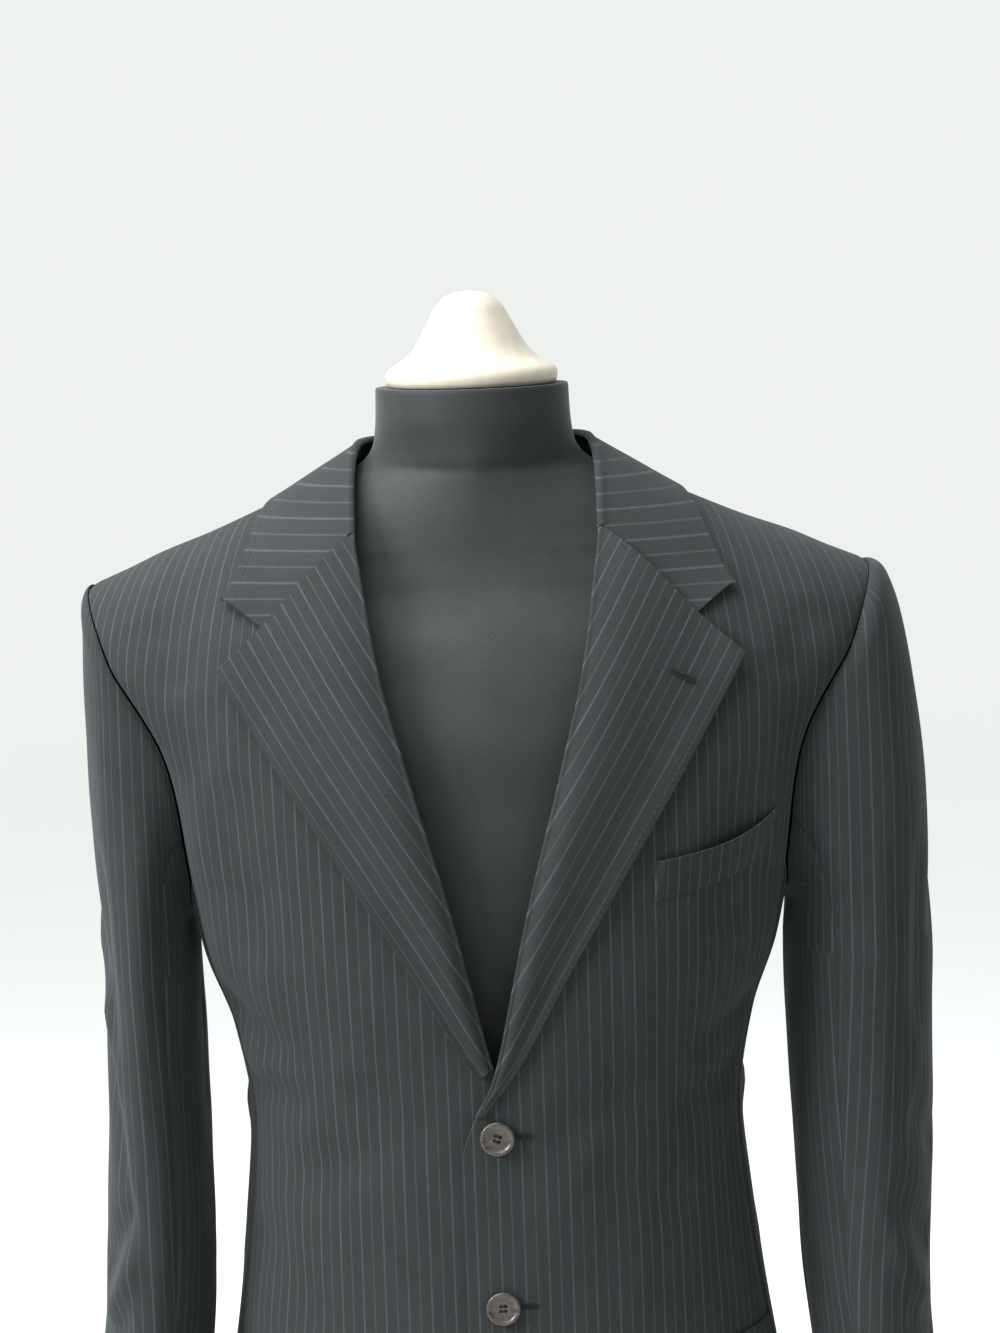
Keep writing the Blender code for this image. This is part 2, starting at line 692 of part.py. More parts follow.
def sleeve_grid(side):
    ring, turn = armhole_ring()
    top_z = SLEEVE["z"][0]
    start = ring + np.array([0.0012, 0.0, 0.0])
    end = sleeve_ring(side, np.full_like(turn, top_z), turn)
    up = np.clip(np.cos(turn), 0, 1)
    down = np.clip(-np.cos(turn), 0, 1)
    reach = 0.055 + (CROWN_REACH[side] - 0.055) * up - 0.030 * down
    leave = np.stack([reach, -0.022 * np.sin(turn), 0.006 * up - 0.018 * down], axis=-1)
    arrive = np.stack([0 * turn, 0 * turn, -(0.03 + 0.9 * (ring[:, 2] - top_z))], axis=-1)
    rows = []
    for t in (0.0, 0.08, 0.2, 0.36, 0.55, 0.78):
        h00 = 2 * t**3 - 3 * t**2 + 1
        h10 = t**3 - 2 * t**2 + t
        h01 = 3 * t**2 - 2 * t**3
        h11 = t**3 - t**2
        rows.append(h00 * start + h10 * leave + h01 * end + h11 * arrive)
    for z in np.linspace(top_z, SLEEVE["z"][-1], 7):
        rows.append(sleeve_ring(side, np.full_like(turn, z), turn))
    return np.array(rows), turn


def add_sleeve(side):
    grid, turn = sleeve_grid(side)
    cut_front = int(np.argmin(np.abs(np.degrees(turn) - SLEEVE_SEAMS[0])))
    cut_back = int(np.argmin(np.abs(np.degrees(turn) - SLEEVE_SEAMS[1])))
    name = SIDE_NAME[side]
    lining = under(grid, WALL, (0.215, 0.0, 1.10), grid[:, -2:-1], grid[:, 1:2])
    pieces = []
    for face in (grid, lining):
        low = face[:, cut_front:cut_back + 1]
        over = np.concatenate([face[:, cut_back:], face[:, 1:cut_front + 1]], axis=1)
        pieces.append([mirrored(part_seam(part, SEAM_GAP * 1.5), side) for part in (low, over)])
    wall_between("sleeve_under_" + name, pieces[0][0], pieces[1][0])
    wall_between("sleeve_top_" + name, pieces[0][1], pieces[1][1])


# ---------------------------------------------------------------- small parts
def turned(name, profile, segments, origin, axis, colour, roughness, metallic=0.0):
    """A turned solid: profile is (radius, height) pairs from the bottom axis to the top axis."""
    points = []
    rings = []
    for radius, height in profile:
        if radius == 0:
            rings.append([len(points)])
            points.append(Vector((0, 0, height)))
            continue
        ring = []
        for i in range(segments):
            a = 2 * math.pi * i / segments
            ring.append(len(points))
            points.append(Vector((radius * math.cos(a), radius * math.sin(a), height)))
        rings.append(ring)
    faces = []
    for low, high in zip(rings[:-1], rings[1:]):
        for i in range(segments):
            j = (i + 1) % segments
            if len(low) == 1:
                faces.append((low[0], high[j], high[i]))
            elif len(high) == 1:
                faces.append((low[i], low[j], high[0]))
            else:
                faces.append((low[i], low[j], high[j], high[i]))
    if len(rings[0]) > 1 and len(rings[-1]) > 1:
        for i in range(segments):
            j = (i + 1) % segments
            faces.append((rings[-1][i], rings[-1][j], rings[0][j], rings[0][i]))
    place = Vector((0, 0, 1)).rotation_difference(Vector(axis)).to_matrix().to_4x4()
    place = Matrix.Translation(Vector(origin)) @ place
    return add_mesh(name, [place @ p for p in points], faces, colour, roughness, metallic)


def add_button(name, origin, axis, radius):
    thick = 0.35 * radius
    profile = [(0, 0), (0.75 * radius, 0), (radius, 0.5 * thick), (0.90 * radius, thick),
               (0.74 * radius, thick), (0.62 * radius, 0.72 * thick), (0, 0.72 * thick)]
    turned(name, profile, 16, origin, axis, HORN, 0.35)


def flat_rows(points, distance):
    """Lay a grid of front points off the panel."""
    return off_front(points[..., 0], points[..., 1], np.full(points.shape[:2], distance))


def add_welt():
    """Breast pocket welt on the left front, a gently curved strip."""
    share = np.linspace(0.0, 1.0, 7)
    x = 0.0980 + 0.0715 * share
    top = 1.2790 + 0.0095 * share + 0.0125 * share**4
    rows = []
    for drop in np.linspace(0.0, 0.0230, 3):
        rows.append(np.stack([x - 0.10 * drop, top - drop], axis=-1))
    grid = flat_rows(np.array(rows), THIN_WALL + LAY_GAP)
    wall("breast_welt", grid, THIN_WALL, (0.12, 0.0, 1.27))


def add_flap(side):
    """Hip pocket flap, level with the lower button."""
    turns = np.radians(np.linspace(33.0, 74.0, 7))
    rows = []
    for k, drop in enumerate(np.linspace(0.0, 0.052, 4)):
        row = []
        for turn in turns:
            z = FLAP_TOP_Z - drop
            here = ring_point(z, turn)
            side_step = ring_point(z, turn + 0.01) - ring_point(z, turn - 0.01)
            up_step = ring_point(z + 0.002, turn) - ring_point(z - 0.002, turn)
            n = np.cross(side_step, up_step)
            n = n / np.linalg.norm(n)
            n = n if n[1] < 0 else -n
            row.append(here + n * (THIN_WALL + LAY_GAP + 0.0004 * k))
        rows.append(row)
    grid = np.array(rows)
    wall("flap_" + SIDE_NAME[side], mirrored(grid, side), THIN_WALL, (0.0, 0.0, 0.95))


# ---------------------------------------------------------------- trousers
def trouser_point(z, turn, face):
    """Point on one leg's outer face; turn runs from -90 at the inseam to 90 at the outseam."""
    half = read(TROUSERS, "half", z)
    reach = read(TROUSERS, face, z)
    power = read(TROUSERS, "round", z)
    share = np.sin(turn)
    spread = 2.0 - 1.0 * (power - 0.5) / 0.22 * 0.55
    depth = reach * (1 - np.abs(share) ** spread) ** power
    x = read(TROUSERS, "x", z) + half * share
    y = -depth if face == "front" else depth
    return np.stack(np.broadcast_arrays(x, y, z), axis=-1).astype(float)


TROUSER_LEVELS = np.array([0.036, 0.14, 0.26, 0.38, 0.48, 0.60, 0.70, 0.775, 0.808, 0.835, 0.862,
                           0.895, 0.935, 0.99, 1.054])
LEG_COLUMNS = 9


def leg_grid(levels, columns):
    """One leg and its half of the seat: from the inner front round the outside to the inner back."""
    rows = []
    for z in levels:
        centre = float(read(TROUSERS, "x", z))
        half = float(read(TROUSERS, "half", z))
        start = math.asin(max(-1.0, min(0.0, (0.0003 - centre) / half)))
        turns = np.linspace(start, math.pi / 2, columns)
        front = trouser_point(np.full_like(turns, z), turns, "front")
        back = trouser_point(np.full_like(turns, z), turns, "back")
        rows.append(np.concatenate([front, back[::-1][1:]]))
    return np.array(rows)


def add_leg(side):
    grid = leg_grid(TROUSER_LEVELS, LEG_COLUMNS)
    is_leg = (np.abs(grid[:, 0] - grid[:, -1]).max(axis=-1) < 0.001)[:, None, None]
    flip = np.array([-1.0, 1.0, 1.0])
    before = np.where(is_leg, grid[:, -2:-1], grid[:, 1:2] * flip)
    after = np.where(is_leg, grid[:, 1:2], grid[:, -2:-1] * flip)
    lining = under(grid, WALL, (0.096, 0.0, 0.45), before, after)
    cut = LEG_COLUMNS - 1
    for face, columns in (("front", slice(0, cut + 1)), ("back", slice(cut, None))):
        outer, inner = (mirrored(part_seam(g[:, columns], SEAM_GAP * 1.5), side) for g in (grid, lining))
        wall_between(f"trouser_{face}_{SIDE_NAME[side]}", outer, inner)


def form_ring(z, width, front, back, power=1.0, segments=32):
    """Ring of the form; power above 1 draws its ends to a ridge."""
    angle = np.arange(segments) * 2 * math.pi / segments
    s = np.sin(angle)
    c = np.cos(angle)
    x = width * np.sign(s) * np.abs(s) ** power
    reach = np.where(c > 0, front, back)
    y = -reach * np.sign(c) * np.abs(c) ** power
    return np.stack([x, y, z + 0 * x], axis=-1)


def add_waistband():
    rows = []
    clear = WALL + 0.0005
    for z in (1.0555, 1.074, WAISTBAND_TOP):
        width = float(read(FORM, "half_width", z)) + clear
        rows.append(form_ring(z, width, float(read(FORM, "front", z)) + clear,
                              float(read(FORM, "back", z)) + clear))
    wall("waistband", np.array(rows), WALL, (0.0, 0.0, 1.07), closed=True)


def add_fly():
    """Fly facing on the left side of the front seam."""
    rows = []
    for z in np.linspace(0.905, 1.050, 6):
        x = np.linspace(0.0012, 0.034, 4)
        centre = float(read(TROUSERS, "x", z))
        half = float(read(TROUSERS, "half", z))
        turns = np.arcsin((x - centre) / half)
        row = trouser_point(np.full_like(turns, z), turns, "front")
        row[:, 1] -= THIN_WALL + LAY_GAP + 0.0003
        rows.append(row)
    wall("trouser_fly", np.array(rows), THIN_WALL, (0.0, 0.0, 0.95))


# ---------------------------------------------------------------- form and stand
def form_rows():
    """Rings of the form from its flat underside to the top of its neck."""
    low = [0.862, 0.88, 0.91, 0.95, 1.0, 1.056, 1.074, 1.092, 1.13, 1.17, 1.215, 1.262, 1.31, 1.36,
           1.40, 1.436]
    rows = [(z, *(float(read(FORM, k, z)) for k in ("half_width", "front", "back")), 1.0) for z in low]
    # Over the shoulders the ring's end follows the jacket's ridge, a wall and a hair below.
    for x in (0.186, 0.165, 0.140, 0.115, 0.095, 0.083, 0.074):
        ridge = float(shoulder_z(x)) - WALL * 1.09 - SEAT_GAP
        share = (x - 0.074) / (0.186 - 0.074)
        rows.append((ridge, x, 0.058 + 0.008 * share, 0.053 + 0.010 * share, 1.34 - 0.20 * share))
    for z, w, f, b in zip(*(FORM_NECK[k] for k in ("z", "half_width", "front", "back"))):
        rows.append((z, w, f, b, 1.0))
    return rows


def add_form():
    rings = np.array([form_ring(*row) for row in form_rows()])
    count, segments = rings.shape[:2]
    faces = []
    for r in range(count - 1):
        for c in range(segments):
            d = (c + 1) % segments
            faces.append((r * segments + c, r * segments + d, (r + 1) * segments + d, (r + 1) * segments + c))
    faces.append(tuple(reversed(range(segments))))
    faces.append(tuple((count - 1) * segments + c for c in range(segments)))
    add_mesh("form_body", rings.reshape(-1, 3), faces, FORM_CLOTH, 0.7)


def add_neck_cap():
    """Turned wooden cap: a rounded rim and a hollow cone that rises to a small round top."""
    profile = [(0, 0), (0.0500, 0), (0.0519, 0.0025), (0.0523, 0.0060), (0.0510, 0.0095),
               (0.0470, 0.0125), (0.0410, 0.0160), (0.0350, 0.0220), (0.0300, 0.0300),
               (0.0250, 0.0390), (0.0190, 0.0490), (0.0110, 0.0548), (0, 0.0566)]
    turned("neck_cap", profile, 32, (0, NECK_CENTRE_Y, NECK_TOP_Z + 0.0003), (0, 0, 1), WOOD, 0.4)


def add_stand():
    edge = 0.0015
    plate = [(0, 0), (BASE_RADIUS - edge, 0), (BASE_RADIUS, edge), (BASE_RADIUS, BASE_THICKNESS - edge),
             (BASE_RADIUS - edge, BASE_THICKNESS), (0, BASE_THICKNESS)]
    turned("base_plate", plate, 48, (0, 0, 0), (0, 0, 1), STEEL, 0.35, 1.0)
    foot = BASE_THICKNESS + 0.0003
    top = FORM_BOTTOM_Z - 0.0003
    pole = [(0, foot), (POLE_RADIUS, foot), (POLE_RADIUS, top), (0, top)]
    turned("pole", pole, 16, (POLE_X, 0, 0), (0, 0, 1), STEEL, 0.3, 1.0)
    bore = POLE_RADIUS + 0.0003
    socket = [(bore, foot), (0.036, foot), (0.036, foot + 0.005), (0.020, foot + 0.009),
              (0.018, foot + 0.026), (bore, foot + 0.026)]
    turned("pole_socket", socket, 16, (POLE_X, 0, 0), (0, 0, 1), STEEL, 0.35, 1.0)


# ---------------------------------------------------------------- assembly
def add_jacket():
    middle = (0.0, 0.0, 1.10)
    for side in (1, -1):
        name = SIDE_NAME[side]
        wall("front_" + name, mirrored(front_grid(side), side), WALL, middle)
        wall("side_" + name, mirrored(side_grid(), side), WALL, middle)
        wall("back_" + name, mirrored(back_grid(), side), WALL, middle)
        lapel = lapel_grid(11, 6, LAPEL_LIFT, LAPEL_START[side])
        if side > 0:
            lapel = overlap_lift(lapel, side)
        wall("lapel_" + name, mirrored(lapel, side), THIN_WALL, (0.0, 0.05, 1.25))
        add_sleeve(side)
        add_flap(side)
    wall("collar", collar_grid(), THIN_WALL, (0.0, 0.0, 1.40))
    wall("collar_stand", stand_grid(), THIN_WALL, (0.0, 0.0, 1.50))
    add_welt()
    for k, z in enumerate(BUTTON_Z):
        y = float(front_at(np.array(0.0), np.array(z))[1]) - (WALL + 2 * LAY_GAP) - 0.0006
        add_button(f"front_button_{k + 1}", (0.0, y, z), (0, -1, 0), BUTTON_RADIUS)


def add_cuff_buttons():
    for side in (1, -1):
        for k in range(CUFF_BUTTONS):
            z = 0.826 + 0.0165 * k
            turn = np.radians(np.array([262.0, 263.0, 264.0]))
            ring = sleeve_ring(side, np.full_like(turn, z), turn)
            along = ring[2] - ring[0]
            n = np.array([along[1], -along[0], 0.0])
            n = n / np.linalg.norm(n)
            n = n if n[1] > 0 else -n
            origin = (ring[1] + n * 0.0016) * np.array([side, 1, 1])
            axis = n * np.array([side, 1, 1])
            name = f"cuff_button_{SIDE_NAME[side]}_{k + 1}"
            add_button(name, origin, axis, CUFF_BUTTON_RADIUS)


def add_trousers():
    for side in (1, -1):
        add_leg(side)
    add_waistband()
    add_fly()


def main():
    for old in list(bpy.data.objects):
        bpy.data.objects.remove(old, do_unlink=True)
    add_jacket()
    add_cuff_buttons()
    add_trousers()
    add_form()
    add_neck_cap()
    add_stand()


main()
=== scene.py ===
# %% [markdown]
# # A two-piece suit on a limbless dress form
# A tailored jacket and trousers hang on a padded form with a turned wooden cap.
# The cloth is charcoal worsted with fine pale stripes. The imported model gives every
# place and size; each piece of cloth is built here again, finer, as a thin shell with its
# own soft folds, and takes the place of the plain piece of the same name.

# %% Load the fixed frame
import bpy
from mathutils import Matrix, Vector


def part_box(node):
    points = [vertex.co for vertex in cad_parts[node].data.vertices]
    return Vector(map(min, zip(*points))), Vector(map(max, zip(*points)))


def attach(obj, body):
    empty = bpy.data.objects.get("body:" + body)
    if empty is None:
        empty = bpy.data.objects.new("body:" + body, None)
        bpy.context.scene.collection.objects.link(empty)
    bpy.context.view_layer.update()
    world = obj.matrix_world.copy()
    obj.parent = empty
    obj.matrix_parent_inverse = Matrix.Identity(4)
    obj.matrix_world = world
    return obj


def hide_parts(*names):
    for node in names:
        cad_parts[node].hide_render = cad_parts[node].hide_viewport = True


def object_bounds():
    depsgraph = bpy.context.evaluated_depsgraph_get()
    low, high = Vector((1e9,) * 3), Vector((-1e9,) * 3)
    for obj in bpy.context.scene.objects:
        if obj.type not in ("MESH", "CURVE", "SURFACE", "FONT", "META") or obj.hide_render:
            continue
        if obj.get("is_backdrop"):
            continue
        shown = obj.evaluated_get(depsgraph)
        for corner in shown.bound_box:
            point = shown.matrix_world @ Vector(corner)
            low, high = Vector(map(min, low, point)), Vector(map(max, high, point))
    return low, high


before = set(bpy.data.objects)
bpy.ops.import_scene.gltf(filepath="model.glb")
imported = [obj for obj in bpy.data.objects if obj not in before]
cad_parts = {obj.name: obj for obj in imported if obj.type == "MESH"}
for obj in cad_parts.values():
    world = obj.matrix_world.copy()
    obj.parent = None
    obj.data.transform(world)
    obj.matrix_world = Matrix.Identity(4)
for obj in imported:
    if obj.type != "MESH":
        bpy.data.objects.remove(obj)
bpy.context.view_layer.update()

# %% [markdown]
# ## Reading smooth curves through short tables
# A tailor's block is a short list of measures joined by fair curves. Blender's own curves
# could hold them, but a small table with a smooth reading between its rows is easier to
# keep in step from one piece to the next. The reading never overshoots its rows.

# %% Tables and smooth readings
import math

import bmesh
import bpy
import numpy as np
from mathutils import Matrix, Vector


def table(columns, *rows):
    """Named columns of numbers."""
    return {name: np.array([row[i] for row in rows]) for i, name in enumerate(columns.split())}


def hermite(t, start, leave, end, arrive):
    """A cubic from start to end that sets out along leave and comes in along arrive."""
    return ((2 * t**3 - 3 * t**2 + 1) * start + (t**3 - 2 * t**2 + t) * leave
            + (3 * t**2 - 2 * t**3) * end + (t**3 - t**2) * arrive)


def smooth(xs, ys, x):
    """Read a curve through the points (xs, ys) at x, smooth and without overshoot."""
    xs = np.asarray(xs, float)
    ys = np.asarray(ys, float)
    x = np.clip(np.asarray(x, float), xs[0], xs[-1])
    step = np.diff(xs)
    rise = np.diff(ys) / step
    slope = np.zeros_like(ys)
    same = rise[:-1] * rise[1:] > 0
    w1 = 2 * step[1:] + step[:-1]
    w2 = step[1:] + 2 * step[:-1]
    with np.errstate(divide="ignore", invalid="ignore"):
        mean = (w1 + w2) / (w1 / rise[:-1] + w2 / rise[1:])
    slope[1:-1] = np.where(same, mean, 0.0)
    slope[0] = rise[0]
    slope[-1] = rise[-1]
    i = np.clip(np.searchsorted(xs, x, side="right") - 1, 0, len(step) - 1)
    t = (x - xs[i]) / step[i]
    return hermite(t, ys[i], step[i] * slope[i], ys[i + 1], step[i] * slope[i + 1])


def read(tab, name, at, key="z"):
    order = np.argsort(tab[key])
    return smooth(tab[key][order], tab[name][order], at)


def ease(x):
    """A smooth step from 0 to 1."""
    x = np.clip(x, 0.0, 1.0)
    return x * x * (3 - 2 * x)


def stations(length, count, edge=(0.0, 0.0007, 0.0016, 0.0032)):
    """Shares along a length, close together at both ends, where an edge is rolled."""
    near = np.array(edge) / length
    middle = np.linspace(near[-1], 1 - near[-1], count)[1:-1]
    return np.concatenate([near, middle, 1 - near[::-1]])


print("a smooth reading between 0, 1 and 1 at a half:", float(smooth([0, 1, 2], [0, 1, 1], 0.5)))

# %% [markdown]
# ## The camera
# A picture of a suit on a form is taken from about chest height with a long lens, close
# enough to fill the frame, so that the shoulders look straight and nothing is stretched.
# The camera stands about two metres off, looks a little down, and leans a touch.

# %% Camera
CAMERA_DISTANCE = 1.90
CAMERA_PITCH = math.radians(8.0)
CAMERA_LEAN = math.radians(-2.0)
AIM = Vector((0.0112, 0.0, 1.378))
FRAME_HEIGHT_AT_AIM = 0.818462   # metres of height that fill the frame at the aim


def add_object(name, data):
    """Put a mesh, a lamp or a camera into the scene."""
    made = bpy.data.objects.new(name, data)
    bpy.context.scene.collection.objects.link(made)
    return made


camera = add_object("camera", bpy.data.cameras.new("camera"))
forward = Vector((0.0, math.cos(CAMERA_PITCH), -math.sin(CAMERA_PITCH)))
camera.location = AIM - forward * CAMERA_DISTANCE
camera.rotation_mode = "QUATERNION"
look = forward.to_track_quat("-Z", "Y")
lean = type(look)((0.0, 0.0, 1.0), CAMERA_LEAN)
camera.rotation_quaternion = look @ lean
camera.data.lens = camera.data.sensor_width * CAMERA_DISTANCE / FRAME_HEIGHT_AT_AIM
bpy.context.scene.camera = camera
print("lens", round(camera.data.lens, 1), "mm")

# %% [markdown]
# ## The studio
# A pale room with a large soft lamp high on the left, and a weaker one overhead, makes
# dark wool readable: the
# side that faces it turns grey and the far side stays nearly black. An HDR picture of a
# room would do it too, but a few area lights are plain, repeatable and easy to move.

# %% Floor, room light and lamps
FLOOR_RADIUS = 60.0
FLOOR_SIDES = 96
FLOOR_Z = -0.0005
FLOOR_COLOUR = (0.86, 0.87, 0.86, 1.0)
ROOM_COLOUR = (0.855, 0.88, 0.855, 1.0)
ROOM_STRENGTH = 1.0
LAMP_AIM = Vector((0.0, 0.0, 1.35))
LAMPS = (
    # name, place, width, height, power
    ("key", (-3.0, -1.7, 2.9), 1.6, 1.4, 275.0),
    ("top", (-0.7, -0.3, 3.4), 2.0, 1.4, 150.0),
)


def mesh_of(name, points, faces, edges=()):
    mesh = bpy.data.meshes.new(name)
    mesh.from_pydata([tuple(map(float, p)) for p in points], edges, faces)
    return mesh


angles = np.linspace(0, 2 * math.pi, FLOOR_SIDES + 1)[:-1]
ring = [(FLOOR_RADIUS * math.cos(a), FLOOR_RADIUS * math.sin(a), FLOOR_Z) for a in angles]
floor = add_object("floor", mesh_of("floor", ring, [tuple(range(FLOOR_SIDES))]))
floor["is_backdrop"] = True

world = bpy.data.worlds.new("room")
world.use_nodes = True
bpy.context.scene.world = world
room = world.node_tree.nodes["Background"]
room.inputs["Color"].default_value = ROOM_COLOUR
room.inputs["Strength"].default_value = ROOM_STRENGTH
bpy.context.scene.view_settings.view_transform = "Standard"

for name, place, width, height, power in LAMPS:
    lamp = bpy.data.lights.new(name, "AREA")
    lamp.shape = "RECTANGLE"
    lamp.size, lamp.size_y, lamp.energy = width, height, power
    holder = add_object(name, lamp)
    holder.location = place
    holder.rotation_mode = "QUATERNION"
    holder.rotation_quaternion = (LAMP_AIM - holder.location).to_track_quat("-Z", "Y")
print("lamps:", [row[0] for row in LAMPS])

# %% [markdown]
# ## Writing shaders as sums
# A shader is a sum of small steps. Dragging boxes is slow to read later, so one small
# class wraps a socket: adding, multiplying or dividing two of them adds the Math node that
# does it. Colours go through Mix and Vector Math, since a Math node greys them.

# %% A socket that can be added and multiplied


def feed(tree, socket, value):
    """Link a socket to a value inside the tree, or set it to a plain number or colour."""
    if isinstance(value, Sock):
        tree.links.new(value.socket, socket)
    elif value is not None:
        socket.default_value = value


class Sock:
    """A value inside a node tree, with the arithmetic of its Math nodes."""

    def __init__(self, tree, socket=None):
        self.tree = tree
        self.socket = socket

    def node(self, kind, settings=None, inputs=None, out=0):
        """Add any node: settings first, then the values or links of its sockets."""
        made = self.tree.nodes.new(kind)
        for key, value in (settings or {}).items():
            setattr(made, key, value)
        for key, value in (inputs or {}).items():
            feed(self.tree, made.inputs[key], value)
        return Sock(self.tree, made.outputs[out])

    def math(self, operation, other=None, swap=False, clamp=False):
        first, second = (other, self) if swap else (self, other)
        return self.node("ShaderNodeMath", {"operation": operation, "use_clamp": clamp},
                         {0: first, 1: second})

    def __add__(self, other):
        return self.math("ADD", other)

    __radd__ = __add__

    def __mul__(self, other):
        return self.math("MULTIPLY", other)

    __rmul__ = __mul__

    def __sub__(self, other):
        return self.math("SUBTRACT", other)

    def __rsub__(self, other):
        return self.math("SUBTRACT", other, swap=True)

    def __truediv__(self, other):
        return self.math("DIVIDE", other)

    def mix(self, low, high):
        """A colour between low and high; this value is the share of high."""
        return self.node("ShaderNodeMix", {"data_type": "RGBA"}, {0: self, 6: low, 7: high}, out=2)

    def between(self, low, high):
        """0 at low and 1 at high, held outside."""
        return self.node("ShaderNodeMapRange", {"clamp": True},
                         {"Value": self, "From Min": low, "From Max": high})

    def part(self, name):
        """One coordinate, X, Y or Z, of a vector."""
        return self.node("ShaderNodeSeparateXYZ", None, {0: self}, out=name)

    def off_axis(self):
        """Distance of a place from the Z axis."""
        across, deep = self.part("X"), self.part("Y")
        return (across * across + deep * deep).math("SQRT")

    def noise(self, scale, detail=2.0, roughness=0.5):
        settings = {"Vector": self, "Scale": scale, "Detail": detail, "Roughness": roughness}
        return self.node("ShaderNodeTexNoise", None, settings)

    def stretched(self, scale):
        return self.node("ShaderNodeMapping", None, {"Vector": self, "Scale": scale})

    def bump(self, strength, distance, under=None):
        return self.node("ShaderNodeBump", None, {"Height": self, "Strength": strength,
                                                  "Distance": distance, "Normal": under})


def end_finish(made, constants, colour, roughness, normal=None):
    """Close a material: constants sit on the shader; colour, roughness and normal may vary."""
    shader = made.node_tree.nodes["Principled BSDF"]
    varying = {"Base Color": colour, "Roughness": roughness, "Normal": normal}
    for key, value in {**constants, **varying}.items():
        feed(made.node_tree, shader.inputs[key], value)
    return made


def start_finish(name, source="ShaderNodeTexCoord", output="Object"):
    """A new material, and the coordinates that its pattern follows."""
    made = bpy.data.materials.new(name)
    made.use_nodes = True
    node = made.node_tree.nodes.new(source)
    return made, Sock(made.node_tree, node.outputs[output])


print("shader sums are ready")

# %% [markdown]
# ## Pinstriped worsted
# Worsted is a close twill of smooth combed yarn. Here and there a paler yarn runs up the
# warp: a stronger one every 14 mm with a fainter one midway. A picture could be wrapped on,
# but numbers stay sharp at any distance. Each piece of cloth carries a map in metres of
# where it lay on the bolt, so stripes run true along each panel and break at its seams.

# %% Suiting
STRIPE_REPEAT = 0.0140
STRIPE_HALF = 0.00050
TWILL = 0.0011
SUIT_DARK = (0.0135, 0.0165, 0.0160, 1.0)
SUIT_PALE = (0.0210, 0.0232, 0.0245, 1.0)
STRIPE_COLOUR = (0.0410, 0.0505, 0.0555, 1.0)


def suiting():
    made, cut = start_finish("striped_worsted", "ShaderNodeUVMap", 0)
    u = cut.part("X")
    v = cut.part("Y")
    place = (u / STRIPE_REPEAT).math("FRACT")
    aside = (place - 0.5).math("ABSOLUTE")
    strong = (0.5 - aside) * STRIPE_REPEAT
    faint = aside * STRIPE_REPEAT
    yarn = cut.stretched((300.0, 900.0, 1.0)).noise(1.0, 1.0)
    broken = cut.stretched((9.0, 26.0, 1.0)).noise(1.0, 3.0)
    line = 1.0 - strong.between(STRIPE_HALF * 0.35, STRIPE_HALF * 1.5)
    second = 1.0 - faint.between(STRIPE_HALF * 0.25, STRIPE_HALF * 1.3)
    stripe = (line * 0.66 + second * 0.46) * (0.45 + 1.1 * yarn) * (0.40 + 1.1 * broken)
    twill = ((u + v) * (2 * math.pi / TWILL)).math("SINE") * 0.5 + 0.5
    mottle = cut.stretched((60.0, 22.0, 1.0)).noise(1.0, 4.0, 0.6)
    cloud = cut.stretched((13.0, 6.0, 1.0)).noise(1.0, 2.0)
    shade = twill * 0.18 + mottle * 0.30 + cloud * 0.34 + yarn * 0.18
    ground = shade.between(0.34, 0.66).mix(SUIT_DARK, SUIT_PALE)
    colour = stripe.math("MULTIPLY", 1.0, clamp=True).mix(ground, STRIPE_COLOUR)
    rough = 0.78 + 0.14 * mottle - 0.06 * stripe
    weave = twill * 0.5 + yarn * 0.35 + stripe * 0.3
    puckers = cut.stretched((34.0, 12.0, 1.0)).noise(1.0, 3.0).bump(0.22, 0.0016)
    normal = weave.bump(0.28, 0.00022, puckers)
    constants = {"Specular IOR Level": 0.06, "Sheen Weight": 0.05, "Sheen Roughness": 0.45,
                 "Sheen Tint": (0.75, 0.86, 0.92, 1.0)}
    return end_finish(made, constants, colour, rough, normal)


def plain_thread():
    made, place = start_finish("silk_thread")
    twist = place.noise(2200.0, 1.0)
    colour = twist.mix((0.006, 0.007, 0.007, 1.0), (0.016, 0.018, 0.018, 1.0))
    return end_finish(made, {"Specular IOR Level": 0.1}, colour, 0.80, twist.bump(0.3, 0.0001))


SUITING = suiting()
THREAD = plain_thread()
print("finishes:", [m.name for m in (SUITING, THREAD)])

# %% [markdown]
# ## Horn, jersey, wood and steel
# Buttons are dark horn with drifting paler streaks and a soft polish. The form is covered
# in black jersey, a fine knit with a faint bloom. Its cap is pale turned wood under
# varnish: rings round the grain, a few brown flecks and a clear coat. The stand is steel
# brushed round. Noise drawn out along one axis makes each of them.

# %% The other finishes


def horn():
    made, place = start_finish("dark_horn")
    streak = place.stretched((160.0, 160.0, 420.0)).noise(1.0, 4.0, 0.6)
    colour = streak.between(0.35, 0.75).mix((0.010, 0.009, 0.008, 1.0), (0.060, 0.046, 0.036, 1.0))
    rough = 0.26 + 0.20 * streak
    return end_finish(made, {"Specular IOR Level": 0.5}, colour, rough, streak.bump(0.05, 0.0004))


def jersey():
    made, place = start_finish("black_jersey")
    courses = (place.part("Z") * 1500.0).math("SINE")
    rib = ((place.part("X") * 1900.0).math("SINE") * courses) * 0.5 + 0.5
    bloom = place.noise(30.0, 4.0, 0.6)
    shade = bloom * 0.8 + rib * 0.2
    colour = shade.mix((0.0100, 0.0125, 0.0125, 1.0), (0.0210, 0.0245, 0.0245, 1.0))
    normal = (rib * 0.6 + place.noise(900.0, 2.0)).bump(0.25, 0.0003)
    constants = {"Specular IOR Level": 0.15, "Sheen Weight": 0.12, "Sheen Roughness": 0.35,
                 "Sheen Tint": (0.85, 0.92, 0.92, 1.0)}
    return end_finish(made, constants, colour, 0.72 - 0.12 * bloom, normal)


print("horn and jersey are written")

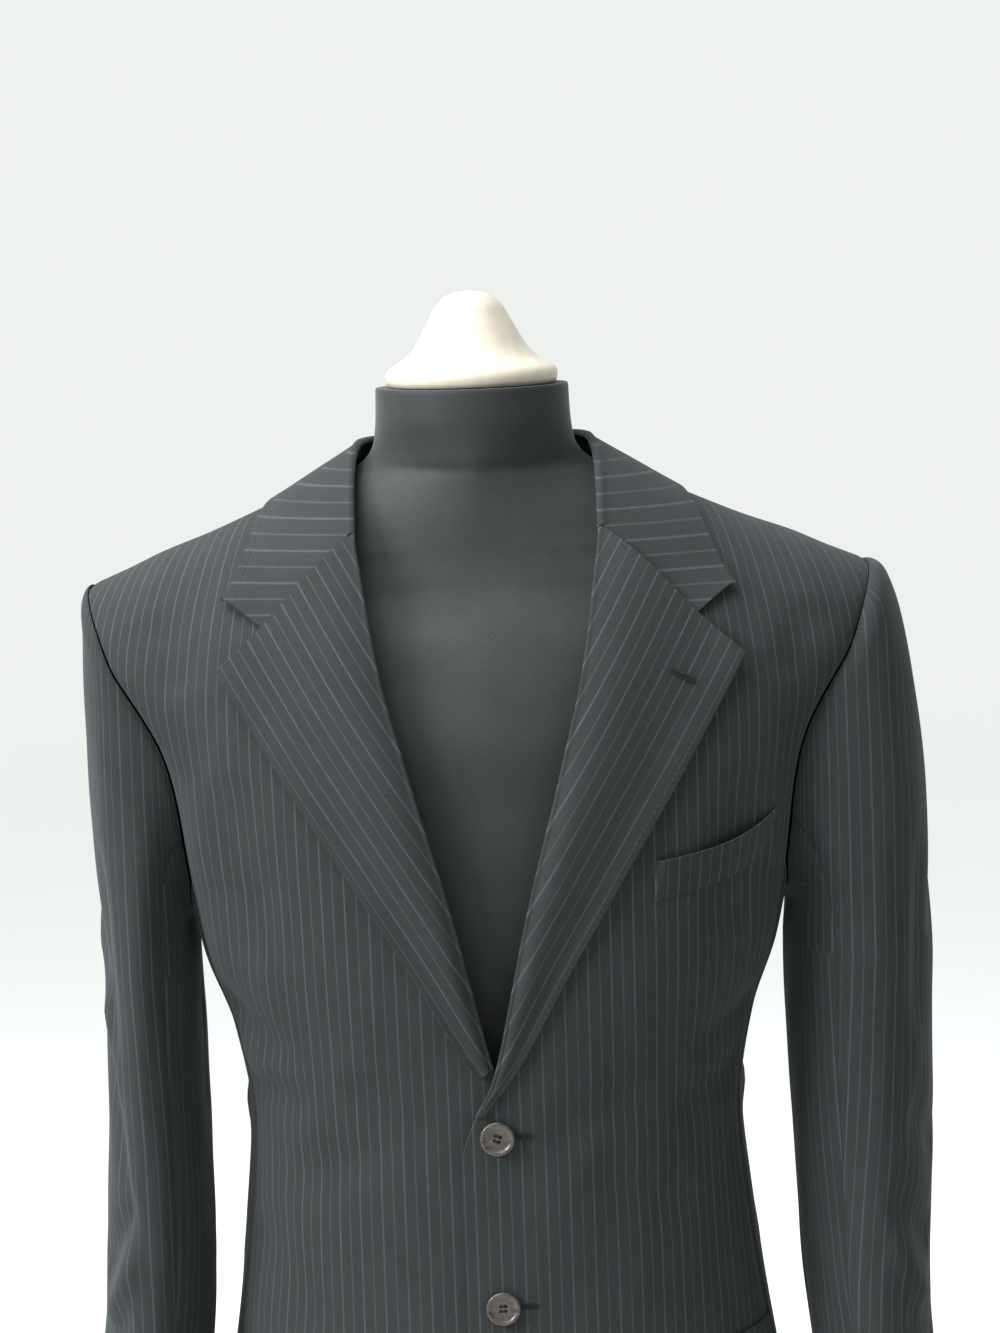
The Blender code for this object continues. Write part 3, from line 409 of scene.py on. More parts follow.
# %% Wood, steel and the floor's paint


def turned_wood():
    made, place = start_finish("turned_wood")
    wander = place.noise(14.0, 3.0)
    rings = ((place.part("X") + wander * 0.05) * 520.0).math("SINE") * 0.5 + 0.5
    pores = place.stretched((900.0, 60.0, 900.0)).noise(1.0, 2.0, 0.7)
    grain = rings * 0.22 + pores.between(0.45, 0.75) * 0.35 + wander * 0.2
    colour = grain.mix((0.355, 0.325, 0.275, 1.0), (0.285, 0.245, 0.185, 1.0))
    fleck = place.noise(120.0, 1.0).between(0.73, 0.78) * 0.5
    colour = fleck.mix(colour, (0.45, 0.28, 0.14, 1.0))
    constants = {"Coat Weight": 0.25, "Coat Roughness": 0.20, "Specular IOR Level": 0.5}
    return end_finish(made, constants, colour, 0.34 + 0.16 * grain, pores.bump(0.05, 0.0003))


def brushed_steel():
    made, place = start_finish("brushed_steel")
    turns = (place.off_axis() * 2600.0).math("SINE") * 0.5 + 0.5
    haze = place.noise(9.0, 4.0, 0.6)
    colour = haze.mix((0.46, 0.47, 0.48, 1.0), (0.60, 0.61, 0.62, 1.0))
    rough = 0.24 + 0.12 * turns + 0.14 * haze
    return end_finish(made, {"Metallic": 1.0}, colour, rough, turns.bump(0.05, 0.0002))


def painted_floor():
    made, place = start_finish("studio_floor")
    cloud = place.noise(0.7, 3.0)
    low = tuple(0.985 * c for c in FLOOR_COLOUR[:3]) + (1.0,)
    end_finish(made, {"Specular IOR Level": 0.1}, cloud.mix(low, FLOOR_COLOUR), 0.85)
    # Far from the middle the floor melts into the room, so that no horizon shows.
    far = place.off_axis().between(2.5, 9.0)
    glow = place.node("ShaderNodeEmission", None, {"Color": ROOM_COLOUR, "Strength": ROOM_STRENGTH})
    nodes = made.node_tree.nodes
    lit = Sock(made.node_tree, nodes["Principled BSDF"].outputs[0])
    both = place.node("ShaderNodeMixShader", None, {0: far, 1: lit, 2: glow})
    feed(made.node_tree, nodes["Material Output"].inputs["Surface"], both)
    return made


print("wood, steel and paint are written")

# %% Finishes made, and put on the stand and the floor
HORN = horn()
JERSEY = jersey()
WOOD = turned_wood()
STEEL = brushed_steel()
floor.data.materials.append(painted_floor())
for node in ("base_plate", "pole", "pole_socket"):
    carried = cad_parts[node]
    carried.data.materials.clear()
    carried.data.materials.append(STEEL)
print("finishes:", [m.name for m in (HORN, JERSEY, WOOD, STEEL)])

# %% [markdown]
# ## The measures of the suit
# These are the block's measures: the jacket's body from hem to chest, its shoulder line,
# the armhole, the front edge with the lapel's roll, the lapel's outer edge, the collar, the
# sleeves and the trousers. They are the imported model's own, so each fine piece lies where
# the plain one does.

# %% Measures
WALL = 0.0020
THIN_WALL = 0.0015
SEAM_GAP = 0.00016
LAY_GAP = 0.0004
CHEST_Z = 1.262
NECK_POINT_X = 0.079
RING_POWER = 0.84
ARCH_POWER = 1.9
ARMHOLE_Y = 0.006
ARMHOLE_Z = 1.3355
ARMHOLE_HALF_DEPTH = 0.073
ARMHOLE_HALF_HEIGHT = 0.1005
ARMHOLE_POWER = 0.85
OVERLAP_TOP_Z = 1.225
FLAP_TOP_Z = 0.975
WAISTBAND_TOP = 1.092
NECK_LEVEL = 0.615
SIDES = {1: "left", -1: "right"}
print("wall", WALL, "m; seams", SEAM_GAP, "m apart")

# %% Tables of the jacket's body and armhole
# Jacket body from the hem to the chest line: half width, and reach to the front and back.
BODY = table(
    "z      half_width  front   back",
    (0.742, 0.1900,     0.1280, 0.1330),
    (0.800, 0.1880,     0.1280, 0.1340),
    (0.880, 0.1820,     0.1270, 0.1310),
    (0.960, 0.1710,     0.1245, 0.1220),
    (1.040, 0.1590,     0.1230, 0.1120),
    (1.110, 0.1530,     0.1250, 0.1080),
    (1.167, 0.1615,     0.1310, 0.1110),
    (1.213, 0.1775,     0.1370, 0.1160),
    (1.262, 0.1870,     0.1400, 0.1200),
)
# Height of the shoulder ridge at each distance from the centre; inside the neck it is notional.
SHOULDER = table(
    "x      z",
    (0.000, 1.5350),
    (0.050, 1.5170),
    (0.079, 1.5035),
    (0.121, 1.4850),
    (0.163, 1.4670),
    (0.192, 1.4560),
    (0.214, 1.4460),
    (0.238, 1.4360),
)
# Armhole seam above the chest line, seen from the front.
ARMHOLE_EDGE = table(
    "z      x",
    (1.300, 0.1840),
    (1.321, 0.1880),
    (1.336, 0.1930),
    (1.352, 0.2010),
    (1.368, 0.2100),
    (1.385, 0.2195),
    (1.409, 0.2285),
    (1.436, 0.2380),
)
print("shoulder from", SHOULDER["z"][0], "m down to", SHOULDER["z"][-1], "m")

# %% Tables of the front edge, lapel and collar
# Front edge, from the rounded hem corner up the overlap and along the lapel's roll.
FRONT_EDGE = table(
    "z      x",
    (0.742, 0.1020),
    (0.749, 0.0780),
    (0.768, 0.0520),
    (0.805, 0.0260),
    (0.860, 0.0040),
    (0.930, -0.0130),
    (1.000, -0.0200),
    (1.105, -0.0200),
    (1.130, -0.0120),
    (1.152, -0.0010),
    (1.205, 0.0119),
    (1.245, 0.0207),
    (1.283, 0.0304),
    (1.315, 0.0395),
    (1.347, 0.0481),
    (1.381, 0.0573),
    (1.414, 0.0638),
    (1.441, 0.0681),
    (1.469, 0.0724),
    (1.504, 0.0745),
)
# Outer edge of the lapel, from its foot at the top button to its tip.
LAPEL_EDGE = table(
    "z      x",
    (1.132, -0.0085),
    (1.160, 0.0125),
    (1.205, 0.0372),
    (1.268, 0.0745),
    (1.331, 0.1140),
    (1.393, 0.1515),
)
GORGE_START = (0.0724, 1.469)    # x and z where the collar seam leaves the roll
NOTCH = (0.1255, 1.417)          # inner corner of the notch
COLLAR_TIP = (0.1487, 1.432)

# Collar from the centre back (0) to its front end (1). The fold and the leaf's edge are given on
# the body's surface: distance from the centre, and degrees from the shoulder ridge, forward
# negative. The fold rises off the surface.
COLLAR = table(
    "t      x       turn    rise    edge_x  edge_turn",
    (0.00,  0.0000, 34.0,   0.0300, 0.0000, 41.0),
    (0.25,  0.0440, 27.0,   0.0255, 0.0720, 33.0),
    (0.50,  0.0690, 8.0,    0.0105, 0.1180, 7.0),
    (0.75,  0.0735, -13.0,  0.0030, 0.1345, -21.6),
    (1.00,  0.0724, -29.5,  0.0010, 0.1487, -36.0),
)
print("the front edge has", len(FRONT_EDGE["z"]), "points, the lapel", len(LAPEL_EDGE["z"]))

# %% Tables of the sleeves and trousers
# Sleeve rings below the armhole; the left sleeve hangs further from the body.
SLEEVE = table(
    "z      x_right  half_right  x_left  half_left  y        half_depth",
    (1.205, 0.2105,  0.0295,     0.2275, 0.0455,    0.0000,  0.0790),
    (1.120, 0.2105,  0.0305,     0.2275, 0.0445,    -0.0020, 0.0750),
    (1.020, 0.2130,  0.0335,     0.2270, 0.0400,    -0.0120, 0.0690),
    (0.920, 0.2205,  0.0340,     0.2320, 0.0370,    -0.0280, 0.0615),
    (0.802, 0.2315,  0.0345,     0.2385, 0.0350,    -0.0500, 0.0560),
)

# Trousers: each leg's centre and half width, and its reach to the front and back crease.
TROUSERS = table(
    "z      x       half    front   back    round",
    (1.054, 0.0000, 0.1390, 0.1100, 0.0990, 0.50),
    (1.000, 0.0000, 0.1470, 0.1120, 0.1010, 0.50),
    (0.940, 0.0000, 0.1570, 0.1150, 0.1090, 0.50),
    (0.895, 0.0100, 0.1530, 0.1150, 0.1150, 0.51),
    (0.860, 0.0380, 0.1260, 0.1130, 0.1160, 0.53),
    (0.830, 0.0650, 0.1010, 0.1080, 0.1120, 0.56),
    (0.808, 0.0820, 0.0860, 0.1020, 0.1060, 0.59),
    (0.780, 0.0885, 0.0825, 0.0970, 0.1000, 0.62),
    (0.700, 0.0930, 0.0780, 0.0920, 0.0930, 0.66),
    (0.600, 0.0950, 0.0730, 0.0880, 0.0870, 0.68),
    (0.480, 0.0960, 0.0680, 0.0850, 0.0820, 0.70),
    (0.300, 0.0960, 0.0610, 0.0850, 0.0790, 0.72),
    (0.100, 0.0960, 0.0560, 0.0870, 0.0780, 0.72),
    (0.036, 0.0960, 0.0545, 0.0880, 0.0780, 0.72),
)
print("sleeves end at", SLEEVE["z"][-1], "m, trousers at", TROUSERS["z"][-1], "m")

# %% Tables of the form
# The form below the shoulders, and its neck; between them its half width follows the jacket.
FORM = table(
    "z      half_width  front   back",
    (0.862, 0.1440,     0.0980, 0.1000),
    (0.900, 0.1500,     0.1020, 0.1040),
    (0.960, 0.1480,     0.1030, 0.1000),
    (1.056, 0.1360,     0.1070, 0.0960),
    (1.092, 0.1360,     0.1070, 0.0960),
    (1.170, 0.1480,     0.1140, 0.0980),
    (1.262, 0.1640,     0.1220, 0.1010),
    (1.340, 0.1700,     0.1160, 0.0990),
    (1.400, 0.1780,     0.0950, 0.0850),
    (1.436, 0.1850,     0.0720, 0.0690),
)
FORM_NECK = table(
    "z      half_width  front   back",
    (1.5095, 0.0655,    0.0590, 0.0540),
    (1.518, 0.0610,     0.0595, 0.0540),
    (1.535, 0.0590,     0.0610, 0.0550),
    (1.551, 0.0585,     0.0605, 0.0550),
)
CHEST = {name: float(read(BODY, name, CHEST_Z)) for name in ("half_width", "front", "back")}
print("tables read; the jacket's chest is", round(2 * CHEST["half_width"], 3), "m wide")

# %% [markdown]
# ## One surface for the whole jacket
# A padded jacket holds one clean shape that its panels only cut up. Below the chest the
# surface is a stack of rounded rings. Above it, the rings tilt and narrow until they lie
# along the shoulder seam. Every panel, lapel and pocket asks this one surface where it
# lies, so their edges agree. Sculpting each panel would leave gaps at the seams.

# %% The jacket's surface
def shoulder_z(x):
    return read(SHOULDER, "z", np.abs(x), key="x")


def armhole_reach(z):
    """Half depth of the armhole at height z."""
    lift = np.clip(np.abs(z - ARMHOLE_Z) / ARMHOLE_HALF_HEIGHT, 0.0, 1.0)
    cosine = lift ** (1 / ARMHOLE_POWER)
    return ARMHOLE_HALF_DEPTH * np.sqrt(1 - cosine**2) ** ARMHOLE_POWER


def armhole_low_z(y):
    """Height of the armhole's lower half at depth y."""
    sine = np.clip(np.abs(y - ARMHOLE_Y) / ARMHOLE_HALF_DEPTH, 0.0, 1.0) ** (1 / ARMHOLE_POWER)
    return ARMHOLE_Z - ARMHOLE_HALF_HEIGHT * np.sqrt(1 - sine**2) ** ARMHOLE_POWER


TIP_Z = ARMHOLE_Z + ARMHOLE_HALF_HEIGHT


def seam_shares(face):
    """Where the side panel's seam lies on a ring, as shares of its reach and its width."""
    y = armhole_reach(CHEST_Z) + (ARMHOLE_Y if face == "back" else -ARMHOLE_Y)
    cosine = float(y) / CHEST[face]
    sine = (1 - cosine ** (2 / RING_POWER)) ** (RING_POWER / 2)
    return cosine, sine


SEAM = {face: seam_shares(face) for face in ("front", "back")}


def armhole_x(z, face):
    """Distance of the armhole seam from the centre at height z."""
    low = CHEST["half_width"] * SEAM[face][1]
    return smooth([CHEST_Z, *ARMHOLE_EDGE["z"]], [low, *ARMHOLE_EDGE["x"]], z)


def level(v, x, face):
    """Width, reach, foot and height of the ring at level v.

    Below zero v is metres under the chest line; from 0 to 1 it climbs over the shoulder.
    """
    v, x = np.broadcast_arrays(np.asarray(v, float), np.asarray(x, float))
    low_z = CHEST_Z + np.minimum(v, 0.0)
    angle = np.clip(v, 0.0, 1.0) * math.pi / 2
    rise = np.sin(angle) ** (2 / ARCH_POWER)
    z = low_z + (shoulder_z(x) - CHEST_Z) * rise
    arm_z = CHEST_Z + (TIP_Z - CHEST_Z) * rise
    cosine, sine = SEAM[face]
    reach_low = read(BODY, face, low_z)
    reach = reach_low * np.abs(np.cos(angle))
    shift = ARMHOLE_Y if face == "back" else -ARMHOLE_Y
    arm_y = armhole_reach(arm_z) + shift
    foot = np.where(v < 0, 0.0, (arm_y - reach * cosine) / (1 - cosine))
    width = np.where(v < 0, read(BODY, "half_width", low_z), armhole_x(arm_z, face) / sine)
    return width, reach, foot, z


def surface(v, x, face):
    """Point on the jacket's outer face, on the +X side."""
    width, reach, foot, z = level(v, x, face)
    share = np.clip(np.abs(x) / width, 0.0, 1.0) ** (2 / RING_POWER)
    depth = foot + (reach - foot) * (1 - share) ** (RING_POWER / 2)
    y = depth if face == "back" else -depth
    return np.stack(np.broadcast_arrays(x, y, z), axis=-1).astype(float)


def level_of(x, z):
    """Level v of the front or back at distance x and height z."""
    rise = np.clip((z - CHEST_Z) / (shoulder_z(x) - CHEST_Z), 0.0, 1.0)
    up = np.arcsin(rise ** (ARCH_POWER / 2)) / (math.pi / 2)
    return np.where(z < CHEST_Z, z - CHEST_Z, up)


def front_at(x, z):
    return surface(level_of(x, z), x, "front")

chest = front_at(np.array(0.10), np.array(1.30))
print("a point on the chest, 100 mm from the centre:", np.round(chest, 3))

# %% [markdown]
# ## From a grid of points to a piece of cloth
# Cloth has a thickness and a rolled edge. A Solidify modifier gives the first but leaves a
# square edge, so this builds both faces and a three-point rim, which shades as a soft roll.
# Each vertex also keeps its place on the bolt, in metres, for the stripes.

# %% Cloth from a grid
EDGE_ROLL = 0.00045              # the rim stands out this much at mid thickness
SHEETS = []


def unit(vectors):
    size = np.linalg.norm(vectors, axis=-1, keepdims=True)
    return vectors / np.maximum(size, 1e-12)


def normals_of(grid, inside, closed=False):
    """Outward directions at the points of a grid, away from a place inside."""
    wide = np.concatenate([grid[:, -1:], grid, grid[:, :1]], axis=1) if closed else grid
    n = unit(np.cross(np.gradient(wide, axis=1), np.gradient(wide, axis=0)))
    if closed:
        n = n[:, 1:-1]
    return -n if np.sum(n * (grid - np.asarray(inside))) < 0 else n


def lifted(grid, inside, lift):
    return grid + normals_of(grid, inside) * np.asarray(lift)[..., None]


def side_of(grid, side):
    return np.asarray(grid) * np.array([side, 1.0, 1.0])


def finished(name, mesh, finish, crease=60):
    """Turn a closed mesh's faces outwards, shade it smooth and give it its finish."""
    bm = bmesh.new()
    bm.from_mesh(mesh)
    bmesh.ops.recalc_face_normals(bm, faces=bm.faces)
    if bm.calc_volume(signed=True) < 0:
        bmesh.ops.reverse_faces(bm, faces=bm.faces)
    bm.to_mesh(mesh)
    bm.free()
    mesh.shade_smooth()
    mesh.set_sharp_from_angle(angle=math.radians(crease))
    mesh.materials.append(finish)
    return add_object(name, mesh)


def inward(index, size):
    """The step from an edge row or column to the next one inside."""
    return 1 if index == 0 else (-1 if index == size - 1 else 0)


print("edges stand out", EDGE_ROLL * 1000, "mm")

# %% A shell with a rolled edge


def shell(name, grid, cut, thickness, inside, closed=False, under=None):
    """A thin closed shell under a grid of outer points; cut is each point's place on the bolt."""
    inner = grid - normals_of(grid, inside, closed) * thickness if under is None else under
    rows, columns = grid.shape[:2]
    count = rows * columns
    points = [grid.reshape(-1, 3), inner.reshape(-1, 3)]
    faces, places = [], []

    def add(quad, *spots):
        faces.append(quad)
        places.extend(cut[spot] for spot in spots)

    for r in range(rows - 1):
        for c in range(columns if closed else columns - 1):
            d = (c + 1) % columns
            quad = (r * columns + c, r * columns + d, (r + 1) * columns + d, (r + 1) * columns + c)
            spots = ((r, c), (r, c + 1), (r + 1, c + 1), (r + 1, c))
            add(quad, *spots)
            add(tuple(count + i for i in reversed(quad)), *reversed(spots))
    rim = [(0, c) for c in range(columns)]
    far = [(rows - 1, c) for c in range(columns - 1, -1, -1)]
    if closed:
        lines = [rim + rim[:1], far + far[:1]]
    else:
        right = [(r, columns - 1) for r in range(rows)]
        left = [(r, 0) for r in range(rows - 1, -1, -1)]
        lines = [rim[:-1] + right[:-1] + far[:-1] + left]
    at = 2 * count
    for line in lines:
        back = [(r + inward(r, rows), c if closed else c + inward(c, columns)) for r, c in line]
        outer = np.array([grid[p] for p in line])
        away = unit(outer - np.array([grid[p] for p in back]))
        middle = (outer + np.array([inner[p] for p in line])) / 2 + away * EDGE_ROLL
        points.append(middle[:-1])
        size = len(line) - 1
        for k in range(size):
            a, b = (r * columns + c for r, c in line[k:k + 2])
            m, m_next = at + k, at + (k + 1) % size
            spots = (line[k], line[k + 1], line[k + 1], line[k])
            add((a, b, m_next, m), *spots)
            add((m, m_next, b + count, a + count), *spots)
        at += size
    mesh = mesh_of(name, np.concatenate(points), faces)
    mesh.uv_layers.new(name="cut").data.foreach_set("uv", np.array(places, np.float32).ravel())
    return finished(name, mesh, SUITING)


print("shell maker ready")

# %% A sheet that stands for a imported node


def stand_for(piece, node):
    """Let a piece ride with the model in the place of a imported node."""
    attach(piece, "root")
    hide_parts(node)


def flat_size(grid):
    """Width and length of a grid laid flat, and its area."""
    across = np.linalg.norm(np.diff(grid, axis=1), axis=-1).sum(axis=1).max()
    along = np.linalg.norm(np.diff(grid, axis=0), axis=-1).sum(axis=0).max()
    a = np.cross(grid[1:, 1:] - grid[:-1, :-1], grid[1:, :-1] - grid[:-1, 1:])
    area = np.linalg.norm(a, axis=-1).sum() / 2
    width, length = round(float(across), 3), round(float(along), 3)
    return (width, length), round(float(min(area, width * length)), 6)


def sew(node, grid, cut, inside, side=1, wall=WALL, under=None,
        closed=False, size=None):
    """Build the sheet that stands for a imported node, and say what it was cut from."""
    flat, area = size or flat_size(grid)
    if under is not None:
        under = side_of(under, side)
    made = shell(node + "_cloth", side_of(grid, side), np.asarray(cut), wall,
                 side_of(inside, side), closed, under)
    stand_for(made, node)
    SHEETS.append((made.name, flat, area))
    print(made.name, len(made.data.polygons), "faces, cut", flat, "m, area", area, "m2")


print("cloth maker ready; wall", WALL * 1000, "mm")

# %% [markdown]
# ## Folds placed by hand
# Cloth that hangs still shows a few soft troughs, and they say how it is held: a drape
# beside each armhole, a drag where a sleeve leans in, breaks at the elbow and over the
# hem. A cloth simulation would find its own folds, different from those wanted here, and
# would smooth the padded chest away. So each fold is a row: two ends, a width, a height.

# %% Folds
FOLD_DEPTH = 1.45


def folds(a, b, rows):
    """Sum of soft ridges (+) and troughs (-) along short lines, in metres."""
    total = np.zeros(np.broadcast(a, b).shape)
    for a0, b0, a1, b1, width, height in rows:
        length2 = (a1 - a0) ** 2 + (b1 - b0) ** 2
        t = np.clip(((a - a0) * (a1 - a0) + (b - b0) * (b1 - b0)) / length2, 0.0, 1.0)
        distance = np.hypot(a - a0 - t * (a1 - a0), b - b0 - t * (b1 - b0))
        fade = (1 - (2 * t - 1) ** 4)
        total += FOLD_DEPTH * height * fade * np.exp(-((distance / width) ** 2))
    return total


def uneven(a, b, size, seed):
    """Slow swells of a few tenths of a millimetre to a millimetre."""
    rng = np.random.default_rng(seed)
    total = np.zeros(np.broadcast(a, b).shape)
    for wave in (90.0, 48.0, 26.0):
        turn, start = rng.uniform(0, 2 * math.pi, 2)
        total += wave / 90 * np.sin((a * math.cos(turn) + 0.45 * b * math.sin(turn)) * 2 * math.pi
                                    / (wave / 1000) + start)
    return total * size


def swells(a, b, rows, seed, size=0.0004):
    """The folds of a table and the cloth's own slow swells together."""
    return folds(a, b, rows) + uneven(a, b, size, seed)


def seam_dip(share, length, depth=0.0009, width=0.0030):
    """A groove where two panels are sewn: the cloth turns in at its edge."""
    return -depth * np.exp(-((share * length / width) ** 2))


def two_dips(shares, length):
    return seam_dip(shares, length) + seam_dip(1 - shares, length)


def off_seams(shares, length, reach=0.020):
    """0 at a panel's two seams and 1 away from them, so that folds don't open them."""
    return ease(shares * length / reach) * ease((1 - shares) * length / reach)


print("folds ready")

# %% [markdown]
# ## Fronts, sides and backs
# A jacket's body is six panels: two fronts, two side panels and two backs seamed down the
# middle. The left front laps over the right one at the buttons. Stripes run up each panel
# and lean in towards the neck over the chest, where the cloth was shrunk and pressed to
# shape. Here the place on the bolt is the walk round the body from the centre line.

# %% Body panels
LEAN_IN = 0.016                  # how far stripes lean to the neck at the shoulder seam
FRONT_FOLDS = {
    -1: ((0.150, 1.335, 0.132, 1.215, 0.017, -0.0030), (0.176, 1.330, 0.158, 1.200, 0.013, 0.0020),
         (0.168, 1.196, 0.120, 1.158, 0.010, -0.0030), (0.172, 1.176, 0.135, 1.140, 0.009, 0.0030),
         (0.170, 1.150, 0.110, 1.128, 0.010, -0.0026), (0.060, 1.115, 0.130, 1.080, 0.014, -0.0020),
         (0.030, 1.120, 0.090, 1.150, 0.014, -0.0018), (0.150, 1.060, 0.110, 0.990, 0.016, -0.0022),
         (0.195, 1.425, 0.175, 1.380, 0.015, -0.0016), (0.070, 0.960, 0.085, 0.800, 0.022, 0.0024),
         (0.130, 0.930, 0.150, 0.780, 0.024, -0.0026)),
    1: ((0.152, 1.330, 0.140, 1.225, 0.017, -0.0028), (0.174, 1.320, 0.160, 1.210, 0.012, 0.0018),
        (0.165, 1.186, 0.115, 1.150, 0.011, -0.0026), (0.160, 1.150, 0.105, 1.120, 0.011, -0.0022),
        (0.028, 1.118, 0.095, 1.138, 0.014, -0.0020), (0.055, 1.100, 0.120, 1.060, 0.014, -0.0018),
        (0.198, 1.420, 0.182, 1.375, 0.014, -0.0018), (0.060, 0.960, 0.060, 0.820, 0.024, 0.0022),
        (0.125, 0.920, 0.135, 0.770, 0.024, -0.0024)),
}
BACK_FOLDS = {
    -1: ((0.150, 1.350, 0.140, 1.210, 0.018, -0.0028), (0.175, 1.330, 0.166, 1.200, 0.013, 0.0020),
         (0.020, 1.470, 0.090, 1.452, 0.016, -0.0016), (0.030, 1.130, 0.110, 1.110, 0.016, -0.0024),
         (0.050, 1.085, 0.130, 1.060, 0.014, 0.0020), (0.110, 0.960, 0.120, 0.790, 0.026, -0.0026)),
    1: ((0.150, 1.340, 0.146, 1.220, 0.018, -0.0026), (0.174, 1.330, 0.164, 1.210, 0.012, 0.0018),
        (0.015, 1.466, 0.080, 1.448, 0.016, -0.0018), (0.025, 1.120, 0.120, 1.132, 0.016, -0.0024),
        (0.060, 1.070, 0.135, 1.085, 0.014, 0.0018), (0.105, 0.950, 0.100, 0.800, 0.026, -0.0024)),
}
print("folds on the fronts:", [len(rows) for rows in FRONT_FOLDS.values()])

# %% Distances walked over the cloth
INSIDE = (0.0, 0.0, 1.10)
TUBE_LENGTH = 0.520              # chest line down to the hem
FRONT_WIDTH = 0.20
BACK_WIDTH = 0.21
RIDGE_LENGTH = 0.13              # chest line up to the shoulder seam, for the dip along it
RIDGE_DIP = 0.0006
RIDGE_GAP = 0.0003
SEAM_QUIET = 0.022


def walk(points, axis=0):
    """Distance walked along rows of points, from zero at the first."""
    steps = np.linalg.norm(np.diff(points, axis=axis), axis=-1)
    return np.concatenate([0 * np.take(steps, [0], axis), np.cumsum(steps, axis)], axis)


def walk_round(v, x, face):
    """Distance round the body from its centre line at level v, on the cloth."""
    xs = np.linspace(0.0, max(0.02, float(np.abs(x).max())) + 0.001, 90)
    line = surface(np.full_like(xs, v), xs, face)
    return np.sign(x) * np.interp(np.abs(x), xs, walk(line))


def walk_up(levels, face):
    """Distance up the cloth at each level from the chest line, along a line 100 mm out."""
    vs = np.linspace(0.0, 1.0, 60)
    far = walk(surface(vs, np.full_like(vs, 0.10), face))
    return np.where(levels < 0, levels, np.interp(levels, vs, far))


def lean_at(levels):
    return LEAN_IN * np.clip((levels - 0.35) / 0.65, 0, 1) ** 1.6


def cut_of(levels, xs, face):
    """Places on the bolt for the points of a panel, with the lean towards the neck."""
    u = np.array([walk_round(v, x, face) + lean_at(v) for v, x in zip(levels, xs)])
    up = walk_up(levels, face)[:, None] + CHEST_Z + 0 * xs
    return np.stack([u, up], axis=-1)


tube = TUBE_LENGTH * (stations(TUBE_LENGTH, 74) - 1)
FINE_LEVELS = np.concatenate([tube[tube < -0.001], [-0.0005], np.linspace(0.0, 0.985, 60),
                              [0.992, 0.997, 1.0]])
FRONT_COLUMNS = stations(FRONT_WIDTH, 58)
BACK_COLUMNS = stations(BACK_WIDTH, 54)
print(len(FINE_LEVELS), "levels up each panel")

# %% Panels between their seams


def seam_gap_x(v, face):
    """Distance of a panel's outer seam from the centre, less the gap left for sewing."""
    return level(v, 0.2, face)[0] * SEAM[face][1] - SEAM_GAP * np.where(v < 0, 1.0, 1.3)


def roll_x(v):
    """Distance of the front edge or the roll at each level."""
    x = np.full_like(v, 0.05)
    for _ in range(12):
        x = read(FRONT_EDGE, "x", level(v, x, "front")[3])
    return x


def panel(inner, outer, face, shares, levels):
    """Rings of a panel between two seams, spaced evenly round the body's curve."""
    rows = []
    for v, start, end in zip(levels, inner, outer):
        width = level(v, 0.2, face)[0]
        a0 = math.copysign(math.asin(min(abs(start) / width, 1) ** (1 / RING_POWER)), start)
        a1 = math.asin((end / width) ** (1 / RING_POWER))
        angle = a0 + (a1 - a0) * shares
        round_x = width * np.sign(angle) * np.abs(np.sin(angle)) ** RING_POWER
        even_x = start + (end - start) * shares
        blend = np.clip(v, 0.0, 1.0) ** 0.5
        rows.append(surface(np.full(len(shares), v), round_x * (1 - blend) + even_x * blend, face))
    return np.array(rows)


def overlap_lift(grid):
    """Move the left front outwards where it lies over the right one."""
    share = ease((0.080 - grid[..., 0]) / 0.045)
    low = np.clip((OVERLAP_TOP_Z - grid[..., 2]) / 0.06, 0.0, 1.0)
    out = grid.copy()
    out[..., 1] -= (WALL + 2 * LAY_GAP) * share * low
    return out


def ridge_dip(levels):
    return seam_dip(1 - levels[:, None], RIDGE_LENGTH, RIDGE_DIP)


print("panel maker ready")

# %% Fronts and backs


def add_front(side):
    levels = FINE_LEVELS
    grid = panel(roll_x(levels), seam_gap_x(levels, "front"), "front", FRONT_COLUMNS, levels)
    cut = cut_of(levels, grid[..., 0], "front")
    grid[-1, :, 1] -= RIDGE_GAP
    if side > 0:
        grid = overlap_lift(grid)
    quiet = ease((1 - FRONT_COLUMNS) * FRONT_WIDTH / SEAM_QUIET) * ease((1 - levels[:, None]) / 0.10)
    lift = swells(grid[..., 0], grid[..., 2], FRONT_FOLDS[side], 5 + side) * quiet
    lift = lift + seam_dip(1 - FRONT_COLUMNS, FRONT_WIDTH) + ridge_dip(levels)
    grid = lifted(grid, INSIDE, lift)
    sew("front_" + SIDES[side], grid, cut, INSIDE, side)


